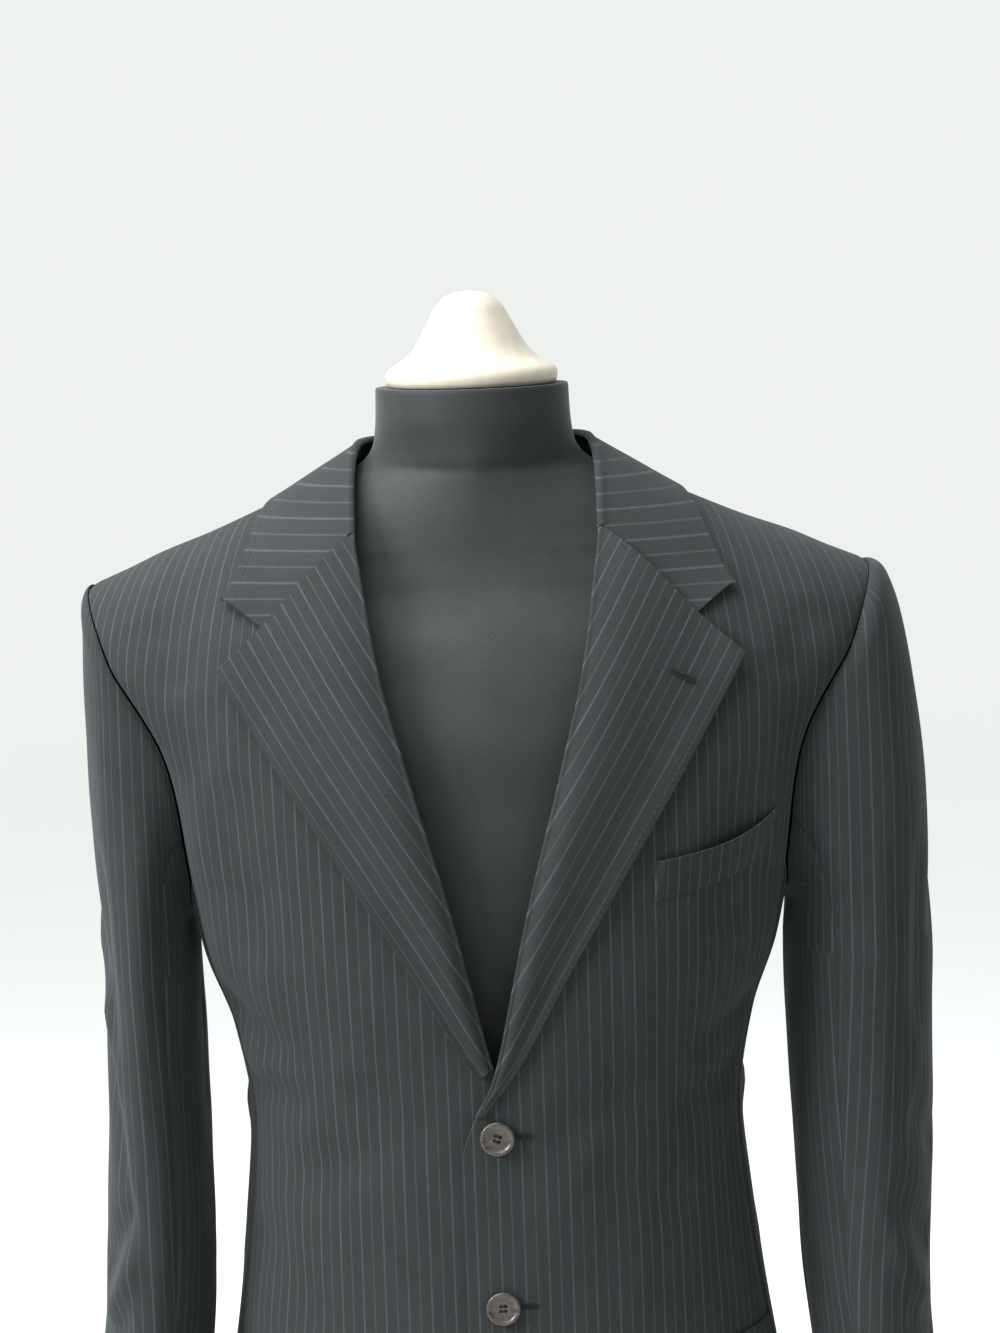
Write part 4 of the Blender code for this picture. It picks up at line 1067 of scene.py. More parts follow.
def add_back(side):
    levels = np.sort(np.append(FINE_LEVELS, NECK_LEVEL))
    climb = np.clip((1 - levels) / (1 - NECK_LEVEL), 0.0, 1.0)
    inner = np.maximum(NECK_POINT_X * np.sqrt(1 - climb**2), SEAM_GAP)
    grid = panel(inner, seam_gap_x(levels, "back"), "back", BACK_COLUMNS, levels)
    cut = cut_of(levels, grid[..., 0], "back") + np.array([STRIPE_REPEAT / 4, 0.0])
    grid[-1, :, 1] += RIDGE_GAP
    quiet = off_seams(BACK_COLUMNS, BACK_WIDTH, SEAM_QUIET) * ease((1 - levels[:, None]) / 0.10)
    lift = swells(grid[..., 0], grid[..., 2], BACK_FOLDS[side], 15 + side) * quiet
    lift = lift + seam_dip(1 - BACK_COLUMNS, BACK_WIDTH) + ridge_dip(levels)
    lift = lift + seam_dip(BACK_COLUMNS, BACK_WIDTH, 0.0007) * (levels[:, None] < NECK_LEVEL)
    grid = lifted(grid, INSIDE, lift)
    grid[..., 0] = np.maximum(grid[..., 0], SEAM_GAP)
    under = lifted(grid, INSIDE, np.full(grid.shape[:2], -WALL))
    under[..., 0] = np.maximum(under[..., 0], SEAM_GAP)
    sew("back_" + SIDES[side], grid, cut, INSIDE, side, under=under)


def ring_point(z, turn):
    """Point on the jacket's ring at height z, turn radians round from the centre front."""
    face_front = turn < math.pi / 2
    width = read(BODY, "half_width", z)
    reach = np.where(face_front, read(BODY, "front", z), read(BODY, "back", z))
    x = width * np.abs(np.sin(turn)) ** RING_POWER
    depth = reach * np.abs(np.cos(turn)) ** RING_POWER
    return np.stack(np.broadcast_arrays(x, np.where(face_front, -depth, depth), z), axis=-1)


print("front and back makers ready")

# %% Side panels
SIDE_WIDTH = 0.115
SIDE_CUT_START = 0.1815          # where the side panel starts on the bolt
SIDE_SHARES = stations(SIDE_WIDTH, 30)
SIDE_ROWS = stations(TUBE_LENGTH, 78)
SIDE_FOLDS = ((-0.03, 1.215, 0.04, 1.190, 0.012, -0.0024), (-0.03, 1.150, 0.04, 1.135, 0.013, -0.0028),
              (-0.02, 1.110, 0.05, 1.120, 0.011, 0.0020), (0.0, 1.02, 0.01, 0.86, 0.020, -0.0020))


def side_grid():
    """Points of the side panel, column by column, each up to the armhole's lower edge."""
    start = math.asin(SEAM["front"][1] ** (1 / RING_POWER))
    end = math.pi - math.asin(SEAM["back"][1] ** (1 / RING_POWER))
    gap = 2.8 * SEAM_GAP / CHEST["front"]
    low = BODY["z"][0]
    columns = []
    for turn in start + gap + (end - start - 2 * gap) * SIDE_SHARES:
        top = CHEST_Z
        for _ in range(10):
            top = float(armhole_low_z(ring_point(np.array(top), np.array(turn))[1]))
        z = low + (min(top - 0.0004, CHEST_Z) - low) * SIDE_ROWS
        columns.append(ring_point(z, np.full_like(z, turn)))
    return np.stack(columns, axis=1)


def add_side(side):
    grid = side_grid()
    u = walk(grid[10]) + SIDE_CUT_START
    cut = np.stack(np.broadcast_arrays(u[None, :], grid[..., 2]), axis=-1)
    lift = swells(grid[..., 1], grid[..., 2], SIDE_FOLDS, 25 + side) * off_seams(SIDE_SHARES, 5.0, 1.0)
    grid = lifted(grid, INSIDE, lift + two_dips(SIDE_SHARES, SIDE_WIDTH))
    sew("side_" + SIDES[side], grid, cut, INSIDE, side)


for side in SIDES:
    for add_panel in (add_front, add_side, add_back):
        add_panel(side)

# %% [markdown]
# ## Lapels
# A lapel is the front's own top edge turned back over the chest along the roll line. It is
# never pressed flat: it swells softly off the chest, and the fold at the roll is round.
# Its stripes run true to its outer edge, so they slant against those of the front. The
# grid below starts inside the fold, goes round it and crosses to the outer edge.

# %% Lapels
LAPEL_LIFT = THIN_WALL + 0.0013
LAPEL_START = {1: 0.0, -1: 0.085}
LAPEL_TOP_GAP = 0.0007
ROLL_RADIUS = 0.0021
LAPEL_ROWS = stations(0.34, 100)
LAPEL_COLUMNS = stations(0.10, 34)[1:]
ROLL_TURNS = np.radians([10.0, 40.0, 70.0, 100.0, 130.0, 160.0])
LAPEL_INSIDE = (0.0, 0.05, 1.25)
FOLD_INSET = 0.0008              # the lapel's face starts this far in from the roll


def surface_normal(at, a, b, step_a, step_b, axis, sign):
    """Unit normal of a surface at(a, b); its part along axis has the given sign."""
    n = unit(np.cross(at(a + step_a, b) - at(a - step_a, b), at(a, b + step_b) - at(a, b - step_b)))
    return n * np.where(n[..., axis:axis + 1] * sign < 0, -1.0, 1.0)


def off_front(x, z, distance):
    """Point that lies off the front's outer face."""
    n = surface_normal(front_at, x, z, 0.002, 0.002, 1, -1)
    return front_at(x, z) + n * np.asarray(distance)[..., None]


def lapel_grid(side):
    along = LAPEL_START[side] + (1 - LAPEL_START[side]) * LAPEL_ROWS
    low, high_z = LAPEL_EDGE["z"][[0, -1]]
    roll_z = low + (GORGE_START[1] - LAPEL_TOP_GAP - low) * along
    fold_x = read(FRONT_EDGE, "x", roll_z)
    edge_z = low + (high_z - low) * along
    edge_x = read(LAPEL_EDGE, "x", edge_z)
    share = LAPEL_COLUMNS
    x = fold_x[:, None] + FOLD_INSET + (edge_x - fold_x)[:, None] * share
    z = roll_z[:, None] + (edge_z - roll_z)[:, None] * share
    opening = np.clip(along * 4, 0, 1)[:, None]
    high = LAPEL_LIFT + 0.0042 * np.sin(np.pi * share**0.55) ** 2 * opening
    if side < 0:
        high = high - (LAPEL_LIFT - 0.0018) * ease((0.045 - (along - LAPEL_START[side])) / 0.045)[:, None]
    tip = ease((along - 0.86) / 0.14)[:, None] * ease((share - 0.70) / 0.30)
    high = high + 0.0022 * tip + 0.0012 * ease((share - 0.75) / 0.25) * opening
    high = high + uneven(x, z, 0.00035, 31 + side) * ease(share * 4)
    turn_x = fold_x[:, None] + FOLD_INSET - ROLL_RADIUS * np.sin(ROLL_TURNS)
    turn_z = roll_z[:, None] + 0 * turn_x
    turn_up = LAPEL_LIFT * (1 - np.cos(ROLL_TURNS)) / 2 + 0.0004 + 0 * turn_x
    grid = np.concatenate([off_front(turn_x, turn_z, turn_up), off_front(x, z, high)], axis=1)
    return overlap_lift(grid) if side > 0 else grid


def to_line(points, line):
    """Shortest distance from each point to a chain of points."""
    start = line[:-1]
    step = line[1:] - start
    gap = points[..., None, :] - start
    t = np.clip((gap * step).sum(-1) / (step**2).sum(-1), 0, 1)
    return np.linalg.norm(gap - t[..., None] * step, axis=-1).min(axis=-1)


print("lapel rows and columns:", len(LAPEL_ROWS), len(LAPEL_COLUMNS))

# %% Lapels in place
LAPELS = {side: lapel_grid(side) for side in SIDES}
for side, grid in LAPELS.items():
    edge = grid[:, -1]
    # The edge is drawn on past its tip, so that stripes stay straight up to the gorge.
    past = edge[-1] + (edge[-1] - edge[-12]) * 6
    u = to_line(grid, np.concatenate([edge, past[None, :]])) + 0.0030
    cut = np.stack(np.broadcast_arrays(u, walk(edge)[:, None]), axis=-1)
    sew("lapel_" + SIDES[side], grid, cut, LAPEL_INSIDE, side,
        wall=THIN_WALL)

# %% [markdown]
# ## Collar
# The collar goes round the neck from one gorge seam to the other. Its stand climbs the
# neck, folds over, and its leaf lies on the shoulders with a notch between its point and
# the lapel's. Its stripes run from fold to edge, so in front they lie nearly level and
# meet the lapel's in a chevron. The leaf is given by a short table on the jacket's surface.

# %% Collar and stand
COLLAR_LIFT = THIN_WALL + 0.0010
COLLAR_FOLD = 0.0030
FOLD_SHARE = 0.05
NOTCH_SHARE = 0.68               # where the notch breaks the collar's front end
UP = np.array([0.0, 0.0, 1.0])


def arch_point(x, turn):
    """Point of the jacket's upper body, turn degrees from the shoulder ridge."""
    turn = np.asarray(turn, float)
    v = 1 - np.abs(turn) / 90.0
    return np.where((turn < 0)[..., None], surface(v, x, "front"), surface(v, x, "back"))


def arch_normal(x, turn):
    return surface_normal(arch_point, x, turn, 0.002, 0.8, 2, 1)


def collar_turn(x, z):
    return -90.0 * (1 - level_of(np.asarray(x), np.asarray(z)))


def collar_leaf(t, share, lift):
    """Points of the collar's leaf for arrays t (0 centre back, 1 front end) and share."""
    x0, turn0, x1, turn1 = (read(COLLAR, k, t, key="t") for k in ("x", "turn", "edge_x", "edge_turn"))
    spots = (GORGE_START, NOTCH, COLLAR_TIP)
    bent_x = np.interp(share, [0, NOTCH_SHARE, 1], [p[0] for p in spots])
    bent_turn = np.interp(share, [0, NOTCH_SHARE, 1], [collar_turn(*p) for p in spots])
    x = x0 + (x1 - x0) * share
    turn = turn0 + (turn1 - turn0) * share
    bend = np.clip((t - 0.55) / 0.45, 0.0, 1.0) ** 1.6
    x = x + (bent_x - x) * bend
    turn = turn + (bent_turn - turn) * bend
    over_ridge = np.clip(1 - np.abs(turn + 6) / 34, 0.0, 1.0) * 0.0003
    on = arch_point(x, turn) + arch_normal(x, turn) * (lift + over_ridge)[..., None]
    on[..., 2] += read(COLLAR, "rise", t, key="t") * (1 - share) ** 1.5
    return on


def neck_out(t):
    """Level direction away from the neck at the fold."""
    angle = math.pi / 2 * np.clip(np.asarray(t, float) * 2, 0.0, 1.0)
    return np.stack([np.sin(angle), np.cos(angle), 0 * angle], axis=-1)


def fold_centre(t):
    t = np.asarray(t, float)
    first = collar_leaf(t, np.full_like(t, FOLD_SHARE), np.full_like(t, COLLAR_LIFT))
    return first - neck_out(t) * COLLAR_FOLD


def both_halves(rows, flip=(-1.0, 1.0, 1.0)):
    """Rows from the centre to one end, with their mirror image before them."""
    rows = np.array(rows)
    return np.concatenate([rows[::-1][:-1] * np.array(flip), rows])


print("collar table has", len(COLLAR["t"]), "rows")

# %% The collar's leaf
LEAF_T = np.concatenate([np.linspace(0.0, 0.99, 90), [0.9945, 0.998, 1.0]])
NOTCH_ON_LEAF = (NOTCH_SHARE - FOLD_SHARE) / (1 - FOLD_SHARE)
LEAF_SHARES = FOLD_SHARE + (1 - FOLD_SHARE) * np.sort(np.append(stations(0.06, 26), NOTCH_ON_LEAF))
FOLD_TURNS = np.radians(np.linspace(-15, 105, 9))
RIDGE_T = 0.60                   # where the collar crosses the top of the shoulder
LEVEL_PITCH = 0.80               # stripes show wider where the collar stands steep
STAND_END_T = 0.58
COLLAR_INSIDE = (0.0, 0.0, 1.40)

rows = []
for t in LEAF_T:
    lift = COLLAR_LIFT + 0.0030 * ease((t - 0.8) / 0.2) * ease((LEAF_SHARES - 0.6) / 0.4)
    swell = 0.0016 * np.sin(math.pi * LEAF_SHARES) * (1 - 0.5 * t)
    leaf = collar_leaf(np.full(len(LEAF_SHARES), t), LEAF_SHARES, lift + swell)
    out = neck_out(t)
    centre = fold_centre(np.array([t]))[0]
    curl = [centre + COLLAR_FOLD * (UP * math.sin(a) - out * math.cos(a)) for a in FOLD_TURNS]
    rows.append(np.concatenate([curl, leaf]))
half = np.array(rows)
middle = collar_leaf(LEAF_T, np.full_like(LEAF_T, 0.5), np.full_like(LEAF_T, COLLAR_LIFT))
walked = walk(middle)
# In front the stripes lie level; behind the shoulder they are counted along the collar.
ridge = int(np.searchsorted(LEAF_T, RIDGE_T))
far = walk(half)
low = walked[ridge] + (middle[ridge, 2] - half[..., 2]) * LEVEL_PITCH
near_back = ease(LEAF_T / 0.5)[:, None]
behind = (low[ridge] + far - far[ridge]) * near_back + walked[:, None] * (1 - near_back)
u = np.where((np.arange(len(LEAF_T)) >= ridge)[:, None], low, behind) + STRIPE_REPEAT / 4
COLLAR_GRID = both_halves(half)
cut = both_halves(np.stack([u, walk(half, 1)], axis=-1), flip=(-1.0, 1.0))
sew("collar", COLLAR_GRID, cut, COLLAR_INSIDE, wall=THIN_WALL)

# %% The collar's stand
rows = []
drop = np.linspace(0, 1, 10)
for t in np.linspace(0.0, STAND_END_T, 50):
    top = fold_centre(np.array([t]))[0] + neck_out(t) * THIN_WALL / 2
    if t < 0.5:
        v = NECK_LEVEL + (1 - NECK_LEVEL) * (t / 0.5) ** 2
        x = NECK_POINT_X * math.sqrt(1 - ((1 - v) / (1 - NECK_LEVEL)) ** 2)
        foot = surface(v, x, "back") + UP * 0.0016 - neck_out(t) * 0.0002
    else:
        foot = np.array([*top[:2], float(shoulder_z(top[0])) + 0.0026])
    rows.append(top + (foot - top) * drop[:, None])
stand_grid = both_halves(rows)
cut = np.stack(np.broadcast_arrays(walk(stand_grid[:, 0])[:, None], 0.03 * drop), axis=-1)
sew("collar_stand", stand_grid, cut, (0.0, 0.0, 1.50), wall=THIN_WALL)

# %% [markdown]
# ## Sleeves
# A tailored sleeve has two pieces, a wide top one and a narrow under one. Its head is
# fuller than the armhole and is eased in, so it swells a little past the shoulder and the
# seam lies in a shadow. The sleeve leans forward and bends at the elbow. Each ring is
# blended from the armhole's own points to an upright oval, with its stripes run down from
# the top of the arm.

# %% Sleeves
CROWN_REACH = {-1: 0.030, 1: 0.085}
SLEEVE_SEAMS = np.radians((118.0, 246.0))
SLEEVE_PARTS = {
    # from turn, to turn, columns
    "top": (SLEEVE_SEAMS[1] - 2 * math.pi, SLEEVE_SEAMS[0], 120),
    "under": (SLEEVE_SEAMS[0], SLEEVE_SEAMS[1], 56),
}
CROWN_ROWS = 49
ARM_X = 0.215                    # a place inside the arm, from the centre
ARM_RADIUS = 0.075
SEAM_TURN_LENGTH = 0.085         # metres for each radian between the two seams
SLEEVE_TOP_Z, SLEEVE_LOW_Z = (float(z) for z in SLEEVE["z"][[0, -1]])
SLEEVE_FOLDS = {
    # Round the arm in metres from its outside, forward positive, and height.
    -1: ((0.060, 1.290, 0.062, 1.130, 0.012, -0.0022), (-0.020, 1.300, 0.050, 1.185, 0.016, -0.0028),
         (-0.010, 1.262, 0.075, 1.130, 0.011, 0.0024), (0.010, 1.215, 0.090, 1.060, 0.012, -0.0030),
         (0.100, 1.070, 0.030, 1.020, 0.013, -0.0034), (0.105, 1.040, 0.035, 0.985, 0.011, 0.0026),
         (0.090, 1.000, 0.020, 0.965, 0.013, -0.0026), (-0.050, 1.020, -0.010, 0.960, 0.015, 0.0020),
         (0.040, 0.930, 0.030, 0.830, 0.014, -0.0016)),
    1: ((0.058, 1.280, 0.064, 1.150, 0.012, -0.0020), (-0.015, 1.300, 0.040, 1.205, 0.017, -0.0022),
        (0.080, 1.110, 0.020, 1.075, 0.014, -0.0026), (0.105, 1.060, 0.030, 1.020, 0.013, -0.0032),
        (0.105, 1.030, 0.045, 0.985, 0.011, 0.0024), (0.085, 0.985, 0.015, 0.955, 0.013, -0.0024),
        (-0.045, 1.030, -0.010, 0.965, 0.015, 0.0018), (0.045, 0.920, 0.030, 0.825, 0.014, -0.0016)),
}


def sleeve_ring(side, z, turn):
    name = SIDES[side]
    x = read(SLEEVE, "x_" + name, z) + read(SLEEVE, "half_" + name, z) * np.cos(turn)
    y = read(SLEEVE, "y", z) - read(SLEEVE, "half_depth", z) * np.sin(turn)
    return np.stack([x, y, z + 0 * turn], axis=-1)


print("folds on the sleeves:", [len(rows) for rows in SLEEVE_FOLDS.values()])

# %% Rows of a sleeve


def armhole_ring(turns):
    """Armhole points at the given turns, from the top down the front and up the back."""
    ups = np.linspace(0.0, 1.0, 160)
    front, back = (surface(ups, seam_gap_x(ups, face), face) for face in ("front", "back"))
    ring = np.concatenate([front[::-1], side_grid()[-1, 1:-1], back])
    dy = (ring[:, 1] - ARMHOLE_Y) / ARMHOLE_HALF_DEPTH
    dz = (ring[:, 2] - ARMHOLE_Z) / ARMHOLE_HALF_HEIGHT
    turn = np.unwrap(np.arctan2(-dy, dz))
    turn = np.where(turn < -0.1, turn + 2 * math.pi, turn)
    order = np.argsort(turn)
    turn, ring = turn[order], ring[order]
    turn = np.concatenate([turn[-40:] - 2 * math.pi, turn, turn[:40] + 2 * math.pi])
    ring = np.concatenate([ring[-40:], ring, ring[:40]])
    return read_points(turns, turn, ring)


def read_points(at, known, points):
    """Points of a path at the given places, between its known ones."""
    return np.stack([np.interp(at, known, points[:, k]) for k in range(3)], axis=-1)


def sleeve_rows(side, turns):
    """Rows of a sleeve from the armhole's own points, over its head and down to the cuff."""
    ring = armhole_ring(turns % (2 * math.pi))
    start = ring + np.array([0.0003, 0.0, 0.0])
    end = sleeve_ring(side, np.full_like(turns, SLEEVE_TOP_Z), turns)
    up = np.clip(np.cos(turns), 0, 1)
    down = np.clip(-np.cos(turns), 0, 1)
    reach = 0.055 + (CROWN_REACH[side] - 0.055) * up - 0.030 * down
    leave = np.stack([reach, -0.022 * np.sin(turns), 0.006 * up - 0.018 * down], axis=-1)
    drop = -(0.03 + 0.9 * (ring[:, 2] - SLEEVE_TOP_Z))
    arrive = np.stack([0 * turns, 0 * turns, drop], axis=-1)
    rows = [hermite(t, start, leave, end, arrive)
            for t in np.concatenate([[0.0, 0.004, 0.010, 0.018], np.linspace(0.03, 1.0, 46)[:-1]])]
    for share in np.concatenate([np.linspace(0, 0.992, 84), [0.996, 0.9985, 1.0]]):
        z = SLEEVE_TOP_Z + (SLEEVE_LOW_Z - SLEEVE_TOP_Z) * share
        rows.append(sleeve_ring(side, np.full_like(turns, z), turns))
    return np.array(rows)


print("sleeve from", SLEEVE_TOP_Z, "m down to", SLEEVE_LOW_Z, "m")

# %% Stripes on a sleeve


def ring_walk(side, z):
    """Distance round the sleeve from its outside, for turns from -180 to 180 degrees."""
    fine = np.linspace(-math.pi, math.pi, 721)
    far = walk(sleeve_ring(side, np.full_like(fine, z), fine))
    return fine, far - far[len(fine) // 2]


def sleeve_place(side, grid, turns):
    """Place on the bolt: round the arm from its outside, and up the arm."""
    u = [np.interp(turns, *ring_walk(side, min(float(row[:, 2].mean()), SLEEVE_TOP_Z))) for row in grid]
    middle = int(np.argmin(np.abs(turns)))
    # On the head the stripes stay upright: counted off the outside line on top, and by how
    # far out they lie in front and behind.
    x_ring, half_ring = (float(read(SLEEVE, key + SIDES[side], SLEEVE_TOP_Z)) for key in ("x_", "half_"))
    fine, walked = ring_walk(side, SLEEVE_TOP_Z)
    outside = grid[:CROWN_ROWS + 1, middle][::-1]
    climb = np.maximum.accumulate(outside[:, 2])
    far = np.linalg.norm(grid[CROWN_ROWS] - outside[0], axis=-1)
    round_up = np.where(far < 0.004, 1.0, np.abs(u[CROWN_ROWS]) / np.maximum(far, 0.004))
    for r in range(CROWN_ROWS):
        beside = read_points(grid[r, :, 2], climb, outside)
        over = np.sign(turns) * np.linalg.norm(grid[r] - beside, axis=-1) * round_up
        below = np.arccos(np.clip((grid[r, :, 0] - x_ring) / half_ring, -1.0, 1.0))
        front = np.sign(turns) * np.interp(below, fine, walked)
        upright = ease((np.abs(grid[r, :, 1]) - 0.012) / 0.040)
        u[r] = over * (1 - upright) + front * upright
    return np.stack(np.broadcast_arrays(np.array(u), walk(grid[:, middle])[:, None]), axis=-1)


print("the head has", CROWN_ROWS, "rows")

# %% Sleeves in place


def add_sleeve(side, part):
    low, high, count = SLEEVE_PARTS[part]
    length = SEAM_TURN_LENGTH * (high - low)
    shares = stations(length, count)
    gap = SEAM_GAP / 0.07
    turns = low + gap + (high - low - 2 * gap) * shares
    grid = sleeve_rows(side, turns)
    wrapped = np.where(turns > math.pi, turns - 2 * math.pi, turns)
    cut = sleeve_place(side, grid, wrapped if part == "top" else turns - math.pi)
    a = ARM_RADIUS * wrapped
    from_head = np.linalg.norm(grid - grid[:1], axis=-1)
    on_top = np.clip(np.cos(turns), 0, 1)
    lift = swells(a, grid[..., 2], SLEEVE_FOLDS[side], 41 + side, 0.0005)
    lift = lift * off_seams(shares, length) * ease(from_head / 0.03) + two_dips(shares, length)
    lift = lift - 0.0008 * np.exp(-(from_head / 0.0022) ** 2) * (1 - 0.8 * on_top)
    lift = lift + 0.0010 * np.exp(-((from_head - 0.009) / 0.006) ** 2) * on_top
    inside = (ARM_X, 0.0, 1.10)
    sew("sleeve_" + part + "_" + SIDES[side], lifted(grid, inside, lift), cut, inside,
        side,
        wall=WALL * 0.9)


for side in SIDES:
    for part in SLEEVE_PARTS:
        add_sleeve(side, part)

# %% [markdown]
# ## Pockets
# The breast welt is a narrow strip that curves up to the armhole, stitched along its foot
# and ends, with its top open. The hip flaps hang from a jetted slit. Their stripes match
# the front that they lie on, so they are almost lost in it; a tailor takes pride in that.

# %% Welt and flaps
WELT_DEPTH = 0.0230

share = stations(0.075, 60)
x = 0.0980 + 0.0715 * share
top = 1.2790 + 0.0095 * share + 0.0125 * share**4
drops = stations(WELT_DEPTH, 14) * WELT_DEPTH
spots_x = x[None, :] - 0.10 * drops[:, None]
spots_z = top[None, :] - drops[:, None]
sewn = ease((drops - 0.010) / 0.013)[:, None] + 0 * share
sewn = np.maximum(sewn, ease((0.05 - share) / 0.05))
wall = THIN_WALL - 0.0012 * sewn
off = wall + LAY_GAP - 0.0003 * sewn + 0.0012 * ease(1 - drops / 0.008)[:, None] * (1 - sewn)
levels = level_of(spots_x, spots_z)
u = np.array([walk_round(float(v.mean()), row, "front") for v, row in zip(levels, spots_x)])
cut = np.stack([u + lean_at(levels), spots_z], axis=-1)
sew("breast_welt", off_front(spots_x, spots_z, off), cut, (0.12, 0.0, 1.27),
    wall=THIN_WALL, under=off_front(spots_x, spots_z, off - wall))

# %% Flaps
FLAP_TURNS = np.radians((33.0, 74.0))
FLAP_DEPTH = 0.052
FLAP_INSIDE = (0.0, 0.0, 0.95)
FLAPS = {}
drops = stations(FLAP_DEPTH, 22)[:, None] * FLAP_DEPTH
t = FLAP_TURNS[0] + (FLAP_TURNS[1] - FLAP_TURNS[0]) * stations(0.10, 44) + 0 * drops
z = FLAP_TOP_Z - drops + 0 * t
here = ring_point(z, t)
n = surface_normal(ring_point, z, t, 0.002, 0.01, 1, -1)
u = np.array([walk_round(float(row[0, 2]) - CHEST_Z, row[:, 0], "front") for row in here])
for side in SIDES:
    fold = folds(here[..., 0], here[..., 2], FRONT_FOLDS[side]) * ease((1.0 - t / 1.4) * 8)
    off = THIN_WALL + LAY_GAP + 0.022 * drops + fold + 0.0006 * np.sin(t * 9 + side)
    FLAPS[side] = here + n * np.maximum(off, THIN_WALL + 0.0002)[..., None]
    sew("flap_" + SIDES[side], FLAPS[side], np.stack([u, z], axis=-1), FLAP_INSIDE,
        side, wall=THIN_WALL)

# %% [markdown]
# ## Trousers
# Each leg is a front and a back piece, joined at the inseam and outseam and pressed to a
# crease before and behind. The cloth breaks softly at the knee and above the hem. The ring
# of the leg is an oval drawn to a point at its creases, and stripes run down true to them.

# %% Trousers
LEG_FOLDS = (
    (-0.05, 0.140, 0.06, 0.115, 0.018, -0.0030), (-0.05, 0.105, 0.05, 0.085, 0.014, 0.0024),
    (-0.06, 0.520, 0.03, 0.505, 0.022, -0.0024), (-0.02, 0.560, 0.07, 0.580, 0.022, -0.0022),
    (0.00, 0.760, 0.07, 0.790, 0.020, -0.0022), (-0.05, 0.780, 0.01, 0.740, 0.016, -0.0020),
)


def trouser_point(z, turn, face):
    """Point on one leg's outer face; turn runs from -90 at the inseam to 90 at the outseam."""
    half = read(TROUSERS, "half", z)
    reach = read(TROUSERS, face, z)
    power = read(TROUSERS, "round", z)
    share = np.sin(turn)
    spread = 2.0 - 1.0 * (power - 0.5) / 0.22 * 0.55
    depth = reach * np.maximum(1 - np.abs(share) ** spread, 0.0) ** power
    x = read(TROUSERS, "x", z) + half * share
    return np.stack(np.broadcast_arrays(x, -depth if face == "front" else depth, z), axis=-1).astype(float)


LEG_WIDTH = 0.20
LEG_CENTRE_X = 0.096
LEG_INSIDE = (LEG_CENTRE_X, 0.0, 0.45)
LEAST_X = 0.0003                 # the two legs keep this far off the centre line
LEG_Z = TROUSERS["z"][-1] + (TROUSERS["z"][0] - TROUSERS["z"][-1]) * stations(1.018, 150)
LEG_SHARES = stations(LEG_WIDTH, 64)


def add_leg(side, face):
    rows, u = [], []
    for z in LEG_Z:
        centre, half = (float(read(TROUSERS, k, z)) for k in ("x", "half"))
        start = math.asin(max(-1.0, min(0.0, (LEAST_X - centre) / half)))
        gap = SEAM_GAP * 1.5 / half
        first = start + (gap * 8 if start < -1.5 else 0.0)
        turns = first + (math.pi / 2 - gap * 8 - first) * LEG_SHARES
        row = trouser_point(np.full_like(turns, z), turns, face)
        rows.append(row)
        u.append(walk(row) - np.interp(centre, row[:, 0], walk(row)))
    grid = np.array(rows)
    cut = np.stack(np.broadcast_arrays(np.array(u), LEG_Z[:, None]), axis=-1)
    seed = 61 + side + (5 if face == "back" else 0)
    a = grid[..., 0] - LEG_CENTRE_X + (0.004 if side > 0 else 0.0)
    lift = swells(a, grid[..., 2], LEG_FOLDS, seed, 0.0005) * off_seams(LEG_SHARES, LEG_WIDTH)
    grid = lifted(grid, LEG_INSIDE, lift + two_dips(LEG_SHARES, LEG_WIDTH))
    grid[..., 0] = np.maximum(grid[..., 0], LEAST_X)
    under = lifted(grid, LEG_INSIDE, np.full(grid.shape[:2], -WALL))
    under[..., 0] = np.maximum(under[..., 0], LEAST_X)
    sew("trouser_" + face + "_" + SIDES[side], grid, cut, LEG_INSIDE, side,
        under=under)


print(len(LEG_Z), "rows down each leg")

# %% Trouser pieces in place


def form_ring(z, width, front, back, power=1.0, segments=128):
    """Ring of the form; power above 1 draws its ends to a ridge."""
    angle = np.arange(segments) * 2 * math.pi / segments
    s = np.sin(angle)
    c = np.cos(angle)
    x = width * np.sign(s) * np.abs(s) ** power
    y = -np.where(c > 0, front, back) * np.sign(c) * np.abs(c) ** power
    return np.stack([x, y, z + 0 * x], axis=-1)


def form_size(z):
    """Half width, front and back of the form at height z."""
    return [float(read(FORM, k, z)) for k in ("half_width", "front", "back")]


for side in SIDES:
    for face in ("front", "back"):
        add_leg(side, face)

# %% Waistband and fly
BAND_LOW, BAND_HEIGHT = 1.0555, 0.0365
BAND_FLAT_WIDTH = 0.037
BAND_CLEAR = WALL + 0.0005
band_z = BAND_LOW + (WAISTBAND_TOP - BAND_LOW) * stations(BAND_HEIGHT, 10)
band = np.array([form_ring(z, *(size + BAND_CLEAR for size in form_size(z))) for z in band_z])
u = walk(np.concatenate([band[0], band[0][:1]]))
cut = np.stack(np.broadcast_arrays(u[None, :], band_z[:, None]), axis=-1)
flat = (round(float(u[-1]), 3), BAND_FLAT_WIDTH)
sew("waistband", band, cut, (0.0, 0.0, 1.07), closed=True,
    size=(flat, round(flat[0] * flat[1], 6)))

rows = []
x = 0.0012 + 0.0328 * stations(0.033, 14)
for z in 0.905 + 0.145 * stations(0.145, 36):
    centre, half = (float(read(TROUSERS, k, z)) for k in ("x", "half"))
    turns = np.arcsin((x - centre) / half)
    rows.append(trouser_point(np.full_like(turns, z), turns, "front"))
fly_grid = np.array(rows) - np.array([0.0, THIN_WALL + LAY_GAP + 0.0003, 0.0])
sew("trouser_fly", fly_grid, fly_grid[..., [0, 2]], (0.0, 0.0, 0.95),
    wall=THIN_WALL)

